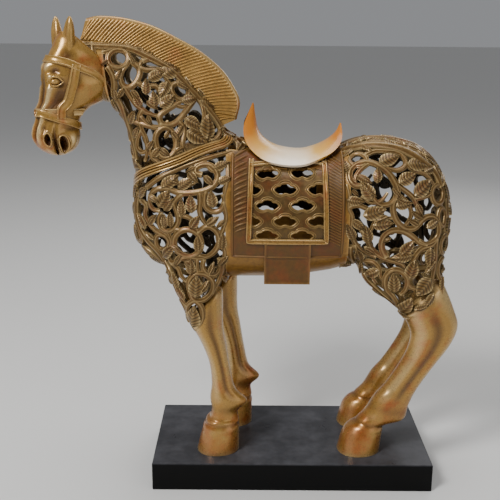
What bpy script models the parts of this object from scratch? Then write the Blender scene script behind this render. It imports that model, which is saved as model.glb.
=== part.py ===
"""Horse statue: a standing horse cast hollow, its neck, body and haunches pierced as vine scrolls,
with a solid head, ribbed mane and smooth lower legs, a crescent saddle and a black plinth.

Metres, +Z up. The origin is the centre of the plinth's underside, and the horse faces -X.
"""

import math

import bmesh
import bpy
import numpy as np
from mathutils import Matrix, Vector
from mathutils.bvhtree import BVHTree

# Driving sizes, in metres and degrees
PLINTH = (0.360, 0.178, 0.037)
PLINTH_BEVEL = 0.0015
GAP = 0.0003
WALL = 0.006
LEG_Y = 0.042
FAR_FORE_STEP = 0.017
FAR_HIND_STEP = 0.008
HEAD_TURN = 38.0
MANE_RIBS = 36
MANE_BASE = 0.0125
MANE_EDGE = 0.0080
RIB_DEPTH = 0.0012
STRAP_WIDTH = 0.011
STRAP_RAISE = 0.0030
CLOTH_RAISE = 0.0030
FRAME_RAISE = 0.0026
FRAME_WIDTH = 0.0062
SCROLL_RADIUS = 0.0250
SCROLL_VINE = 0.0060
PANEL_HOLE = (0.0125, 0.0060)
SADDLE_THICK = 0.0065
SEAT_DEPTH = 0.040
BELLY_HALF = 0.030
FLAT = 6.5
FLOOR = PLINTH[2] + GAP

# Trunk stations: x, bottom z, top z, half width
TRUNK = (
    (-0.203, 0.322, 0.376, 0.020),
    (-0.197, 0.306, 0.404, 0.036),
    (-0.182, 0.290, 0.424, 0.051),
    (-0.155, 0.276, 0.444, 0.062),
    (-0.115, 0.268, 0.456, 0.069),
    (-0.072, 0.267, 0.443, 0.073),
    (-0.032, 0.268, 0.424, 0.075),
    (0.008, 0.271, 0.419, 0.075),
    (0.045, 0.277, 0.427, 0.073),
    (0.085, 0.288, 0.444, 0.072),
    (0.125, 0.296, 0.443, 0.069),
    (0.158, 0.300, 0.431, 0.060),
    (0.182, 0.306, 0.404, 0.046),
    (0.196, 0.322, 0.366, 0.024),
)
# Neck stations: front (x, z), crest (x, z), y, half width
NECK = (
    ((-0.240, 0.494), (-0.262, 0.564), -0.016, 0.022),
    ((-0.227, 0.485), (-0.236, 0.563), -0.012, 0.026),
    ((-0.215, 0.470), (-0.205, 0.561), -0.008, 0.030),
    ((-0.208, 0.450), (-0.176, 0.549), -0.004, 0.035),
    ((-0.204, 0.427), (-0.150, 0.533), -0.002, 0.041),
    ((-0.201, 0.402), (-0.128, 0.510), 0.000, 0.047),
    ((-0.200, 0.375), (-0.108, 0.487), 0.000, 0.053),
    ((-0.200, 0.345), (-0.092, 0.464), 0.000, 0.058),
    ((-0.180, 0.320), (-0.085, 0.430), 0.000, 0.058),
)
# Leg stations: front (x, z), back (x, z), y as a share of LEG_Y, half width
FORE_LEG = (
    ((-0.166, 0.335), (-0.086, 0.335), 0.92, 0.029),
    ((-0.162, 0.286), (-0.084, 0.286), 0.96, 0.028),
    ((-0.152, 0.260), (-0.088, 0.258), 1.00, 0.0255),
    ((-0.143, 0.238), (-0.091, 0.236), 1.00, 0.0225),
    ((-0.132, 0.212), (-0.090, 0.208), 1.00, 0.0195),
    ((-0.118, 0.186), (-0.086, 0.182), 1.00, 0.0165),
    ((-0.108, 0.158), (-0.081, 0.152), 1.00, 0.0148),
    ((-0.105, 0.130), (-0.074, 0.122), 1.00, 0.0138),
    ((-0.107, 0.110), (-0.059, 0.105), 1.00, 0.0150),
    ((-0.105, 0.095), (-0.070, 0.092), 1.00, 0.0152),
    ((-0.107, 0.084), (-0.070, 0.082), 1.00, 0.0165),
    ((-0.114, 0.076), (-0.069, 0.074), 1.00, 0.0215),
    ((-0.124, FLOOR), (-0.069, FLOOR), 1.00, 0.0268),
)
HIND_LEG = (
    ((0.078, 0.345), (0.190, 0.350), 0.82, 0.034),
    ((0.075, 0.310), (0.189, 0.318), 0.86, 0.033),
    ((0.084, 0.277), (0.187, 0.290), 0.90, 0.031),
    ((0.104, 0.255), (0.188, 0.269), 0.95, 0.0275),
    ((0.126, 0.238), (0.192, 0.253), 1.00, 0.0235),
    ((0.141, 0.221), (0.203, 0.234), 1.00, 0.0190),
    ((0.150, 0.200), (0.210, 0.210), 1.00, 0.0165),
    ((0.147, 0.178), (0.202, 0.185), 1.00, 0.0150),
    ((0.137, 0.156), (0.183, 0.156), 1.00, 0.0140),
    ((0.121, 0.130), (0.163, 0.124), 1.00, 0.0136),
    ((0.107, 0.112), (0.153, 0.100), 1.00, 0.0146),
    ((0.096, 0.093), (0.147, 0.080), 1.00, 0.0152),
    ((0.084, 0.080), (0.123, 0.073), 1.00, 0.0168),
    ((0.069, 0.066), (0.119, 0.058), 1.00, 0.0220),
    ((0.061, FLOOR), (0.117, FLOOR), 1.00, 0.0272),
)
# Head stations, top to bottom: z, leftmost x, rightmost x in side view, half width
HEAD = (
    (0.573, -0.281, -0.259, 0.008),
    (0.565, -0.287, -0.254, 0.015),
    (0.553, -0.292, -0.244, 0.019),
    (0.541, -0.298, -0.235, 0.022),
    (0.530, -0.304, -0.228, 0.025),
    (0.518, -0.306, -0.224, 0.025),
    (0.508, -0.306, -0.224, 0.024),
    (0.498, -0.307, -0.228, 0.022),
    (0.490, -0.308, -0.238, 0.020),
    (0.482, -0.310, -0.253, 0.018),
    (0.470, -0.312, -0.261, 0.0165),
    (0.458, -0.316, -0.260, 0.0170),
    (0.447, -0.317, -0.261, 0.0180),
    (0.437, -0.312, -0.264, 0.0165),
    (0.430, -0.304, -0.271, 0.0120),
)
# Mane: inner and outer edge (x, z), poll to withers
MANE_IN = ((-0.262, 0.562), (-0.238, 0.559), (-0.205, 0.556), (-0.178, 0.544), (-0.153, 0.529),
           (-0.131, 0.506), (-0.110, 0.482), (-0.092, 0.461))
MANE_OUT = ((-0.256, 0.583), (-0.240, 0.586), (-0.212, 0.584), (-0.180, 0.576), (-0.150, 0.562),
            (-0.123, 0.547), (-0.097, 0.526), (-0.081, 0.504), (-0.074, 0.486), (-0.078, 0.465))
# Saddle stations: ridge (x, z), skirt edge (x, z), skirt half width
SADDLE = (
    ((-0.0535, 0.487), (-0.0550, 0.486), 0.0015),
    ((-0.0525, 0.478), (-0.0600, 0.474), 0.0080),
    ((-0.0505, 0.466), (-0.0655, 0.460), 0.0180),
    ((-0.0470, 0.454), (-0.0640, 0.445), 0.0300),
    ((-0.0400, 0.444), (-0.0550, 0.432), 0.0400),
    ((-0.0270, 0.4355), (-0.0400, 0.4220), 0.0470),
    ((-0.0100, 0.4310), (-0.0180, 0.4170), 0.0500),
    ((0.0080, 0.4300), (0.0060, 0.4170), 0.0500),
    ((0.0240, 0.4340), (0.0250, 0.4230), 0.0460),
    ((0.0360, 0.4400), (0.0420, 0.4300), 0.0370),
    ((0.0450, 0.4470), (0.0530, 0.4390), 0.0250),
    ((0.0510, 0.4540), (0.0570, 0.4490), 0.0130),
    ((0.0550, 0.4630), (0.0565, 0.4620), 0.0015),
)
# Saddle cloth: front edge, back edge (x) and hem z; the raised frame, then the girth flap
CLOTH = (-0.078, 0.055, 0.308)
CLOTH_STEPS = 5
FRAME = (-0.056, 0.033, 0.328, 0.409)
FLAP = (-0.039, 0.017, 0.273, 0.326)
PANEL_ROW = 0.018
PANEL_COLUMN = 0.0375
# Breast strap: azimuth seen from the withers' axis, and height
STRAP_AXIS_X = -0.120
STRAP = ((-50, 0.440), (-72, 0.436), (-102, 0.427), (-135, 0.411), (-160, 0.395), (-180, 0.386))


def new_collection(name, hidden=False):
    """A collection in the scene; a hidden one holds the cutters."""
    collection = bpy.data.collections.new(name)
    bpy.context.scene.collection.children.link(collection)
    collection.hide_render = hidden
    return collection


def clear_scene():
    """Removes the startup objects and collections."""
    for obj in list(bpy.data.objects):
        bpy.data.objects.remove(obj, do_unlink=True)
    for collection in list(bpy.data.collections):
        bpy.data.collections.remove(collection)


def mesh_object(name, bm, collection):
    """Writes a bmesh out as a triangulated object with its faces turned outwards."""
    bmesh.ops.remove_doubles(bm, verts=bm.verts, dist=1e-6)
    bmesh.ops.dissolve_degenerate(bm, edges=bm.edges, dist=1e-7)
    bmesh.ops.triangulate(bm, faces=bm.faces)
    bmesh.ops.recalc_face_normals(bm, faces=bm.faces)
    if bm.calc_volume(signed=True) < 0:
        bmesh.ops.reverse_faces(bm, faces=bm.faces)
    mesh = bpy.data.meshes.new(name)
    bm.to_mesh(mesh)
    bm.free()
    obj = bpy.data.objects.new(name, mesh)
    collection.objects.link(obj)
    return obj


def loft_into(bm, rings, loop=False):
    """Adds a skin over rings of equal count: closed at both ends, or joined into a loop."""
    rows = [[bm.verts.new(point) for point in ring] for ring in rings]
    sides = len(rows[0])
    pairs = list(zip(rows, rows[1:])) + ([(rows[-1], rows[0])] if loop else [])
    for row, following in pairs:
        for i in range(sides):
            j = (i + 1) % sides
            bm.faces.new((row[i], row[j], following[j], following[i]))
    if not loop:
        bm.faces.new(rows[0])
        bm.faces.new(rows[-1])


def loft(name, rings, collection, loop=False):
    """One object skinned over the rings."""
    bm = bmesh.new()
    loft_into(bm, rings, loop)
    return mesh_object(name, bm, collection)


def signed_power(value, power):
    return math.copysign(abs(value) ** power, value)


def pair_ring(first, second, y, half_width, sides, power=2.3, taper=0.0, inset=0.0):
    """A superellipse whose long axis joins two (x, z) points; taper narrows it at the second."""
    a, b = np.array(first), np.array(second)
    centre, half = (a + b) / 2, (b - a) / 2
    length = np.linalg.norm(half)
    unit = half / length
    ring = []
    for k in range(sides):
        angle = 2 * math.pi * (k + 0.5) / sides
        along = signed_power(math.cos(angle), 2 / power)
        across = signed_power(math.sin(angle), 2 / power) * (1 - taper * along)
        x, z = centre + unit * along * (length - inset)
        ring.append((x, y + across * (half_width - inset), z))
    return ring


def closed_volume(mesh):
    """The volume inside a mesh, or nothing when an edge isn't shared by two faces."""
    bm = bmesh.new()
    bm.from_mesh(mesh)
    sound = bool(bm.faces) and all(len(edge.link_faces) == 2 for edge in bm.edges)
    volume = bm.calc_volume(signed=True) if sound else 0.0
    bm.free()
    return volume


def boolean(target, tools, operation):
    """Applies an exact Boolean of one object after another; a result that isn't sound is redone
    with the tool moved by a hair."""
    for tool in tools:
        before = closed_volume(target.data)
        for attempt in range(6):
            modifier = target.modifiers.new("join", "BOOLEAN")
            modifier.operation = operation
            modifier.solver = "EXACT"
            modifier.object = tool
            graph = bpy.context.evaluated_depsgraph_get()
            mesh = bpy.data.meshes.new_from_object(target.evaluated_get(graph))
            target.modifiers.clear()
            after = closed_volume(mesh)
            if after > 0.9 * before if operation == "UNION" else after > 0.2 * before:
                target.data = mesh
                break
            tool.data.transform(Matrix.Translation((0.00013, -0.00011 * (attempt + 1), 0.00017)))
    return target


def keep_largest(obj, flat=FLAT):
    """Drops loose crumbs that a cut leaves behind and merges what is nearly flat."""
    bm = bmesh.new()
    bm.from_mesh(obj.data)
    bmesh.ops.dissolve_limit(bm, angle_limit=math.radians(flat), use_dissolve_boundaries=False,
                             verts=bm.verts, edges=bm.edges)
    bmesh.ops.remove_doubles(bm, verts=bm.verts, dist=2e-6)
    bmesh.ops.dissolve_degenerate(bm, edges=bm.edges, dist=2e-6)
    bm.verts.ensure_lookup_table()
    seen, groups = set(), []
    for start in bm.verts:
        if start in seen:
            continue
        group, stack = {start}, [start]
        while stack:
            for edge in stack.pop().link_edges:
                for vert in edge.verts:
                    if vert not in group:
                        group.add(vert)
                        stack.append(vert)
        seen |= group
        groups.append(group)
    groups.sort(key=len)
    bmesh.ops.delete(bm, geom=[v for group in groups[:-1] for v in group], context="VERTS")
    bmesh.ops.triangulate(bm, faces=bm.faces)
    bm.to_mesh(obj.data)
    bm.free()


def tree_of(obj):
    mesh = obj.data
    return BVHTree.FromPolygons([v.co for v in mesh.vertices], [p.vertices for p in mesh.polygons])


def surface_hit(tree, target, ray):
    """The outermost point that a ray towards the target meets, and its outward normal."""
    where, normal, _, _ = tree.ray_cast(target + ray * 0.4, -ray)
    if where is None:
        where, normal, _, _ = tree.find_nearest(target)
    if normal.dot(ray) < 0:
        normal = -normal
    return where, normal


def smooth_path(points, count):
    """Catmull-Rom points spaced evenly by number along a list of stations."""
    pts = np.array(points, float)
    padded = np.vstack([2 * pts[0] - pts[1], pts, 2 * pts[-1] - pts[-2]])
    out = []
    for s in np.linspace(0, len(pts) - 1, count):
        i = min(int(s), len(pts) - 2)
        t = s - i
        p0, p1, p2, p3 = padded[i:i + 4]
        out.append(0.5 * (2 * p1 + (p2 - p0) * t + (2 * p0 - 5 * p1 + 4 * p2 - p3) * t * t
                          + (3 * p1 - p0 - 3 * p2 + p3) * t ** 3))
    return out


def even_path(points, count):
    """A smooth path resampled to equal steps of length."""
    fine = np.array(smooth_path(points, 200))
    run = np.concatenate([[0], np.cumsum(np.linalg.norm(np.diff(fine, axis=0), axis=1))])
    steps = np.linspace(0, run[-1], count)
    return np.stack([np.interp(steps, run, fine[:, k]) for k in range(fine.shape[1])], axis=1)


def ribbon_rings(points, normals, width, below, above, loop=False, grooves=0):
    """Sections of a strap laid along points on a surface, optionally with grooves along it."""
    rings = []
    count = len(points)
    for i, (point, normal) in enumerate(zip(points, normals)):
        after = points[(i + 1) % count] if loop or i < count - 1 else point
        before = points[i - 1] if loop or i > 0 else point
        side = (after - before).cross(normal).normalized() * (width / 2)
        ring = [point - side - normal * below, point - side + normal * above]
        for k in range(grooves):
            share = (2 * k + 2) / (2 * grooves + 1)
            for s, height in ((share - 0.12, above), (share, above * 0.45), (share + 0.12, above)):
                ring.append(point + side * (2 * s - 1) + normal * height)
        ring += [point + side + normal * above, point + side - normal * below]
        rings.append(ring)
    return rings


def trunk_rings(sides, grow=0.0, stations=TRUNK):
    return [[(x, y, z) for x_, y, z in pair_ring((x, low), (x, high), 0, half, sides, 2.4, 0.06, -grow)]
            for x, low, high, half in stations]


def neck_rings(sides, inset=0.0, stations=NECK):
    return [pair_ring(front, crest, y, half, sides, 2.2, 0.26, inset)
            for front, crest, y, half in stations]


def leg_rings(stations, side, step, sides, inset=0.0):
    rings = []
    for front, back, share, half in stations:
        shift = step if back[1] < 0.30 else step * 0.4
        taper = 0.35 if back[1] < 0.115 and back[1] > 0.078 else 0.08
        rings.append(pair_ring((front[0] + shift, front[1]), (back[0] + shift, back[1]),
                               side * LEG_Y * share, half, sides, 2.2, taper, inset))
    return rings


def head_section(z):
    """Centre, half length and half width of the head at a height."""
    table = np.array(HEAD)[::-1]
    left, right, half = (np.interp(z, table[:, 0], table[:, k]) for k in (1, 2, 3))
    turn = math.radians(HEAD_TURN)
    centre_x = (left + right) / 2
    long = max(((right - left) / 2 - math.sin(turn) * half) / math.cos(turn), 0.006)
    centre_y = -0.028 + (centre_x + 0.265) * math.tan(turn)
    return centre_x, centre_y, long, half


def head_point(angle, z, out=0.0):
    """A point of the head's skin; angle 0 is the face, 90 the near side, 180 the back."""
    cx, cy, long, half = head_section(z)
    turn, a = math.radians(HEAD_TURN), math.radians(angle)
    forward = Vector((-math.cos(turn), -math.sin(turn), 0))
    near = Vector((math.sin(turn), -math.cos(turn), 0))
    along, across = signed_power(math.cos(a), 0.86), signed_power(math.sin(a), 0.86)
    narrow = 1 - 0.18 * along
    return (Vector((cx, cy, z)) + forward * along * (long + out)
            + near * across * narrow * (half + out))


def head_normal(angle, z):
    return (head_point(angle, z, 0.004) - head_point(angle, z)).normalized()


def build_head(collection):
    """The head, its brows, eyes and ears, as loose overlapping bodies to be joined."""
    rings = [[head_point(360 * (k + 0.5) / 16, station[0]) for k in range(16)] for station in HEAD]
    parts = [loft("head_skin", rings, collection)]
    for side in (1, -1):
        # eye with heavy lids
        centre = head_point(side * 62, 0.514, -0.0025)
        parts.append(ball("eye", centre, (0.0085, 0.0060, 0.0055), collection))
        parts.append(ball("brow", head_point(side * 46, 0.524, -0.003), (0.010, 0.009, 0.0055), collection))
        # cheek disc
        parts.append(ball("cheek", head_point(side * 118, 0.512, -0.0125), (0.024, 0.0165, 0.022), collection))
        # nostril wing and ear
        parts.append(ball("wing", head_point(side * 44, 0.445, -0.004), (0.0095, 0.0085, 0.0100), collection))
        parts.append(ear(side, collection))
    return parts


def ball(name, centre, radii, collection, turn=HEAD_TURN, rings=4, segments=7):
    """An ellipsoid with its first axis along the head's facing direction."""
    bm = bmesh.new()
    bmesh.ops.create_uvsphere(bm, u_segments=segments, v_segments=rings, radius=1.0)
    c, s = math.cos(math.radians(turn)), math.sin(math.radians(turn))
    for vert in bm.verts:
        a, b, z = (vert.co[k] * radii[k] for k in range(3))
        vert.co = Vector(centre) + Vector((-c * a + s * b, -s * a - c * b, z))
    return mesh_object(name, bm, collection)


def ear(side, collection):
    """A pricked ear: a pointed leaf, hollowed down its front."""
    turn = math.radians(HEAD_TURN)
    forward = Vector((-math.cos(turn), -math.sin(turn), 0))
    near = Vector((math.sin(turn), -math.cos(turn), 0))
    base = Vector((-0.2740, -0.0300, 0.553)) + near * side * 0.0135
    tip = Vector((-0.2770, -0.0300, 0.5905)) + near * side * 0.0155
    rings = []
    for share, size in ((0.0, 0.0082), (0.28, 0.0088), (0.62, 0.0068), (0.88, 0.0032), (1.0, 0.0008)):
        centre = base.lerp(tip, share)
        ring = []
        for angle, reach in ((0, 0.30), (48, 1.0), (100, 0.92), (180, 0.95), (260, 0.92), (312, 1.0)):
            a = math.radians(angle)
            ring.append(centre + (forward * math.cos(a) * 0.85 + near * math.sin(a)) * size * reach)
        rings.append(ring)
    return loft("ear", rings, collection)


def bridle(collection):
    """Noseband, browband with throat latch, and the two cheek straps."""
    parts = []
    path = [(angle, 0.473 + 0.007 * math.cos(math.radians(angle))) for angle in range(0, 360, 24)]
    parts.append(strap_on_head("noseband", path, 0.0085, True, collection))
    for side in (1, -1):
        turns = ((-8, 0.541), (24, 0.541), (55, 0.539), (85, 0.535), (110, 0.529), (128, 0.520),
                 (141, 0.509), (150, 0.497), (172, 0.487))
        parts.append(strap_on_head("browband", [(side * a, z) for a, z in turns], 0.0080, False, collection))
        down = ((92, 0.538), (90, 0.525), (86, 0.508), (84, 0.490), (82, 0.472))
        parts.append(strap_on_head("cheek_strap", [(side * a, z) for a, z in down], 0.0085, False, collection))
    return parts


def strap_on_head(name, path, width, loop, collection):
    points = [head_point(angle, z) for angle, z in path]
    normals = [head_normal(angle, z) for angle, z in path]
    return loft(name, ribbon_rings(points, normals, width, 0.0030, 0.0020, loop), collection, loop)


def mouth_cutters(collection):
    """Nostrils and the open mouth."""
    parts = []
    for side in (1, -1):
        parts.append(ball("nostril", head_point(side * 50, 0.441, 0.0045), (0.0048, 0.0052, 0.0075),
                          collection))
        parts.append(ball("lip_gap", head_point(side * 118, 0.440, 0.0015), (0.0048, 0.0062, 0.0105),
                          collection))
    return parts


def build_mane(collection):
    """The hogged mane: a tall crest whose slanting ribs fan round from the poll to the withers."""
    count = 2 * MANE_RIBS + 1
    inner, outer = even_path(MANE_IN, count), even_path(MANE_OUT, count)
    sway = np.interp(inner[:, 0], [s[1][0] for s in NECK], [s[2] for s in NECK])
    rings = []
    for i, (low, high) in enumerate(zip(inner, outer)):
        rib = RIB_DEPTH if i % 2 else 0.0
        base, edge = MANE_BASE / 2 + rib, MANE_EDGE / 2 + rib
        top = high + (high - low) / np.linalg.norm(high - low) * rib * 0.6
        rings.append([(low[0], sway[i] - base, low[1]), (top[0], sway[i] - edge, top[1]),
                      (top[0], sway[i] + edge, top[1]), (low[0], sway[i] + base, low[1])])
    return loft("mane", rings, collection)


def breast_strap(tree, collection):
    """A grooved strap from the saddle round the chest."""
    half = smooth_path(STRAP, 12)
    path = [(a, z) for a, z in half] + [(-360 - a, z) for a, z in half[-2::-1]]
    points, normals = [], []
    for azimuth, z in path:
        a = math.radians(azimuth)
        ray = Vector((math.cos(a), math.sin(a), 0))
        where, normal = surface_hit(tree, Vector((STRAP_AXIS_X, 0, z)), ray)
        points.append(where)
        normals.append((normal + ray).normalized())
    rings = ribbon_rings(points, normals, STRAP_WIDTH, 0.003, STRAP_RAISE, grooves=1)
    return loft("breast_strap", rings, collection)


def trunk_half_width(x, z, grow=0.0):
    """How far out the trunk's side lies at a place."""
    table = np.array(TRUNK)
    low, high, half = (np.interp(x, table[:, 0], table[:, k]) for k in (1, 2, 3))
    centre, tall = (low + high) / 2, (high - low) / 2 + grow
    along = min(abs(z - centre) / tall, 0.999)
    wide = (1 - along ** 2.4) ** (1 / 2.4)
    return wide * (half + grow) * (1 - 0.06 * signed_power((z - centre) / tall, 1.0))


def cloth_rings(grow, sink, spare=0):
    """Sections of the saddle cloth, hem to hem over the back, between two depths."""
    table = np.array(TRUNK)
    rings = []
    front, back, hem = CLOTH
    for i in range(-spare, CLOTH_STEPS + 1 + spare):
        x = front + (back - front) * i / CLOTH_STEPS
        low, high, half = (np.interp(x, table[:, 0], table[:, k]) for k in (1, 2, 3))
        centre, tall = (low + high) / 2, (high - low) / 2
        start = -math.asin(signed_power(min((centre - hem) / tall, 0.99), 1.2))
        outer, inner = [], []
        for k in range(13):
            angle = start + (math.pi - 2 * start) * k / 12
            along, across = (signed_power(f(angle), 1 / 1.2) for f in (math.sin, math.cos))
            across *= 1 - 0.06 * along
            for depth, line in ((grow, outer), (-sink, inner)):
                line.append((x, -across * (half + depth), centre + along * (tall + depth)))
        rings.append(outer + inner[::-1])
    return rings


def frame_bars(side, collection):
    """The raised rectangle on the cloth: down, along and up."""
    front, back, low, high = FRAME
    rise = [(front + (high - z) * -0.03, z) for z in np.linspace(high, low, 5)]
    along = [(x, low) for x in np.linspace(front - 0.003, back + 0.002, 4)][1:-1]
    path = rise + along + [(back + (high - z) * 0.03, z) for z in np.linspace(low, high, 5)]
    points, normals = [], []
    for x, z in path:
        here = trunk_half_width(x, z)
        lean = (trunk_half_width(x, z + 0.004) - trunk_half_width(x, z - 0.004)) / 0.008
        points.append(Vector((x, side * here, z)))
        normals.append(Vector((0, side, -lean)).normalized())
    top = CLOTH_RAISE + FRAME_RAISE
    return loft("frame", ribbon_rings(points, normals, FRAME_WIDTH, 0.002, top), collection)


def flap(side, collection):
    """The girth flap that hangs free below the cloth."""
    front, back, low, high = FLAP
    rings = []
    for z, out, thick in ((high, 0.0005, 0.008), (0.312, 0.001, 0.008), (0.296, 0.0, 0.006), (low, 0.0, 0.005)):
        y = trunk_half_width((front + back) / 2, max(z, 0.304)) + CLOTH_RAISE + out
        rings.append([(front, side * y, z), (back, side * y, z),
                      (back, side * (y - thick), z), (front, side * (y - thick), z)])
    return loft("flap", rings, collection)


def prism(bm, outline, where, normal, up_hint, below, above):
    """Adds a prism of a flat outline, its axis along the normal."""
    right = up_hint.cross(normal).normalized()
    up = normal.cross(right)
    low = [where + right * a + up * b - normal * below for a, b in outline]
    high = [where + right * a + up * b + normal * above for a, b in outline]
    loft_into(bm, [low, high])


def comma(turn, radius, vine):
    """Half of a round scroll, parted from the other half by an S-shaped vine."""
    r = radius - vine * 0.5
    bow = radius * 0.36
    outline = [(r * math.cos(math.radians(a)), r * math.sin(math.radians(a))) for a in (20, 88, 156)]
    outline += [(-0.52 * r, bow + vine * 0.45), (-0.02 * r, vine * 0.55), (0.50 * r, -bow + vine * 0.60)]
    c, s = math.cos(turn), math.sin(turn)
    return [(a * c - b * s, a * s + b * c) for a, b in outline]


def surface_samples(obj, count):
    """Points spread evenly over a mesh, with their normals, in a fixed order."""
    mesh = obj.data
    mesh.calc_loop_triangles()
    corners = np.array([[mesh.vertices[i].co for i in t.vertices] for t in mesh.loop_triangles])
    cross = np.cross(corners[:, 1] - corners[:, 0], corners[:, 2] - corners[:, 0])
    area = np.linalg.norm(cross, axis=1)
    run = np.cumsum(area) / area.sum()
    index = np.arange(1, count + 1)
    pick = np.minimum(np.searchsorted(run, (index - 0.5) / count), len(area) - 1)
    a, b = (index * 0.7548776662) % 1.0, (index * 0.5698402910) % 1.0
    flip = a + b > 1
    a, b = np.where(flip, 1 - a, a), np.where(flip, 1 - b, b)
    tri = corners[pick]
    where = tri[:, 0] + a[:, None] * (tri[:, 1] - tri[:, 0]) + b[:, None] * (tri[:, 2] - tri[:, 0])
    return where, cross[pick] / area[pick][:, None]


def strap_height(x, y):
    """Height of the breast strap's middle at a place on the skin."""
    azimuth = -abs(math.degrees(math.atan2(-abs(y), x - STRAP_AXIS_X)))
    table = np.array(STRAP)[::-1]
    return float(np.interp(azimuth, table[:, 0], table[:, 1]))


def pierced(point):
    """Whether a scroll may be centred here: clear of mane, strap, cloth, head, belly and legs."""
    x, y, z = point
    reach = SCROLL_RADIUS
    mane = np.array(smooth_path(MANE_IN, 40))
    if np.min(np.hypot(mane[:, 0] - x, mane[:, 1] - z)) < reach + 0.002:
        return False
    if x < CLOTH[0]:
        if abs(z - strap_height(x, y)) < reach * 0.85 + STRAP_WIDTH / 2:
            return False
        head = math.hypot(x + 0.252, z - 0.530) > reach + 0.020 and x > -0.228
        floor = 0.252 if x < -0.108 else 0.292
        return head and x < CLOTH[0] - reach * 0.85 and z > floor and (z > 0.300 or abs(y) > BELLY_HALF)
    return x > CLOTH[1] + reach * 0.9 and z > 0.262 and (z > 0.335 or abs(y) > BELLY_HALF)


def scroll_places(horse, tree):
    """Centres of the scrolls: packed closely from seed to seed, near side first, then mirrored."""
    where, normal = surface_samples(horse, 5200)
    kept = np.array([pierced(p) for p in where])
    where, normal = where[kept], normal[kept]
    pitch = 2 * SCROLL_RADIUS + 0.0008
    middle = np.abs(where[:, 1]) < 0.006
    side = (where[:, 1] < -pitch / 2) & (normal[:, 1] < -0.08)
    places = np.empty((0, 3))
    for group, flat in ((middle, True), (side, False)):
        free = where[group].copy()
        if flat:
            free[:, 1] = 0.0
        while len(free):
            if len(places):
                gaps = np.linalg.norm(free[:, None] - places[None], axis=2)
                open_ = gaps.min(axis=1) >= pitch
                free, gaps = free[open_], np.sort(gaps[open_], axis=1)
                if not len(free):
                    break
                score = gaps[:, 0] + 0.6 * gaps[:, min(1, gaps.shape[1] - 1)]
                chosen = free[int(np.argmin(score))]
            else:
                chosen = free[int(np.argmin(free[:, 0]))]
            places = np.vstack([places, chosen])
    mirrored = [(x, -y, z) for x, y, z in places if abs(y) > 0.001]
    return [Vector(p) for p in list(map(tuple, places)) + mirrored]


def scroll_cutters(horse, tree, collection):
    """Two comma-shaped openings for every scroll, over the neck, shoulders and haunches."""
    cutters = []
    for number, place in enumerate(scroll_places(horse, tree)):
        bm = bmesh.new()
        where, _, _, _ = tree.find_nearest(place)
        total = Vector()
        for step in range(6):
            a = math.pi * step / 3
            near, normal, _, _ = tree.find_nearest(place + Vector((math.cos(a), 0, math.sin(a))) * 0.009)
            total += normal
        normal = total.normalized()
        hint = Vector((0, 0, 1)) if abs(normal.z) < 0.8 else Vector((1, 0, 0))
        for half in (0, math.pi):
            outline = comma(number * 2.4 + half, SCROLL_RADIUS, SCROLL_VINE)
            prism(bm, outline, where, normal, hint, WALL + 0.004, 0.006)
        cutters.append(mesh_object("scroll_cutter", bm, collection))
    return cutters


def panel_cutters(collection):
    """Staggered cloud-shaped openings through the cloth panel and the wall behind it."""
    bm = bmesh.new()
    front, back, low, high = FRAME
    wide, tall = PANEL_HOLE
    cloud = [(wide * a, tall * b) for a, b in
             ((1, 0), (0.62, 0.85), (0, 1.0), (-0.62, 0.85), (-1, 0), (-0.62, -0.85), (0, -0.55), (0.62, -0.85))]
    rows = int((high - low) / PANEL_ROW)
    for side in (-1, 1):
        for row in range(rows):
            z = low + PANEL_ROW * (row + 0.55)
            for column in range(int((back - front) / PANEL_COLUMN) + 1):
                x = front + wide * 1.4 + PANEL_COLUMN * (column + 0.5 * (row % 2))
                if front + wide * 1.2 < x < back - wide * 1.1:
                    where = Vector((x, side * trunk_half_width(x, z), z))
                    prism(bm, cloud, where, Vector((0, side, 0)), Vector((0, 0, 1)), WALL + 0.010, 0.012)
    return mesh_object("panel_cutter", bm, collection)


def build_saddle(collection, cutters):
    """The crescent: arched across the back and drawn up to a point before and behind."""
    rings = []
    for ridge, edge, half in SADDLE:
        run = np.array(ridge) - np.array(edge)
        thick = min(SADDLE_THICK, 0.0014 + half * 0.42)
        down = np.array([0.25 if ridge[0] < -0.03 else -0.25 if ridge[0] > 0.03 else 0.0, -1.0])
        down = down / np.linalg.norm(down) * thick
        top, under = [], []
        for k in range(9):
            across = -1 + k / 4
            place = np.array(edge) + run * (1 - abs(across) ** 2.2)
            top.append((place[0], across * half, place[1]))
        for k in range(7):
            across = 0.93 - 0.93 * k / 3
            place = np.array(edge) + run * (1 - abs(across) ** 2.2) + down * (1 - 0.35 * abs(across))
            under.append((place[0], across * half, place[1]))
        rings.append(top + under)
    saddle = loft("saddle", rings, collection)
    clearing = loft("saddle_clearing", cloth_rings(CLOTH_RAISE + GAP, SEAT_DEPTH, 1), cutters)
    boolean(saddle, [clearing], "DIFFERENCE")
    keep_largest(saddle)
    return saddle


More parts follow.
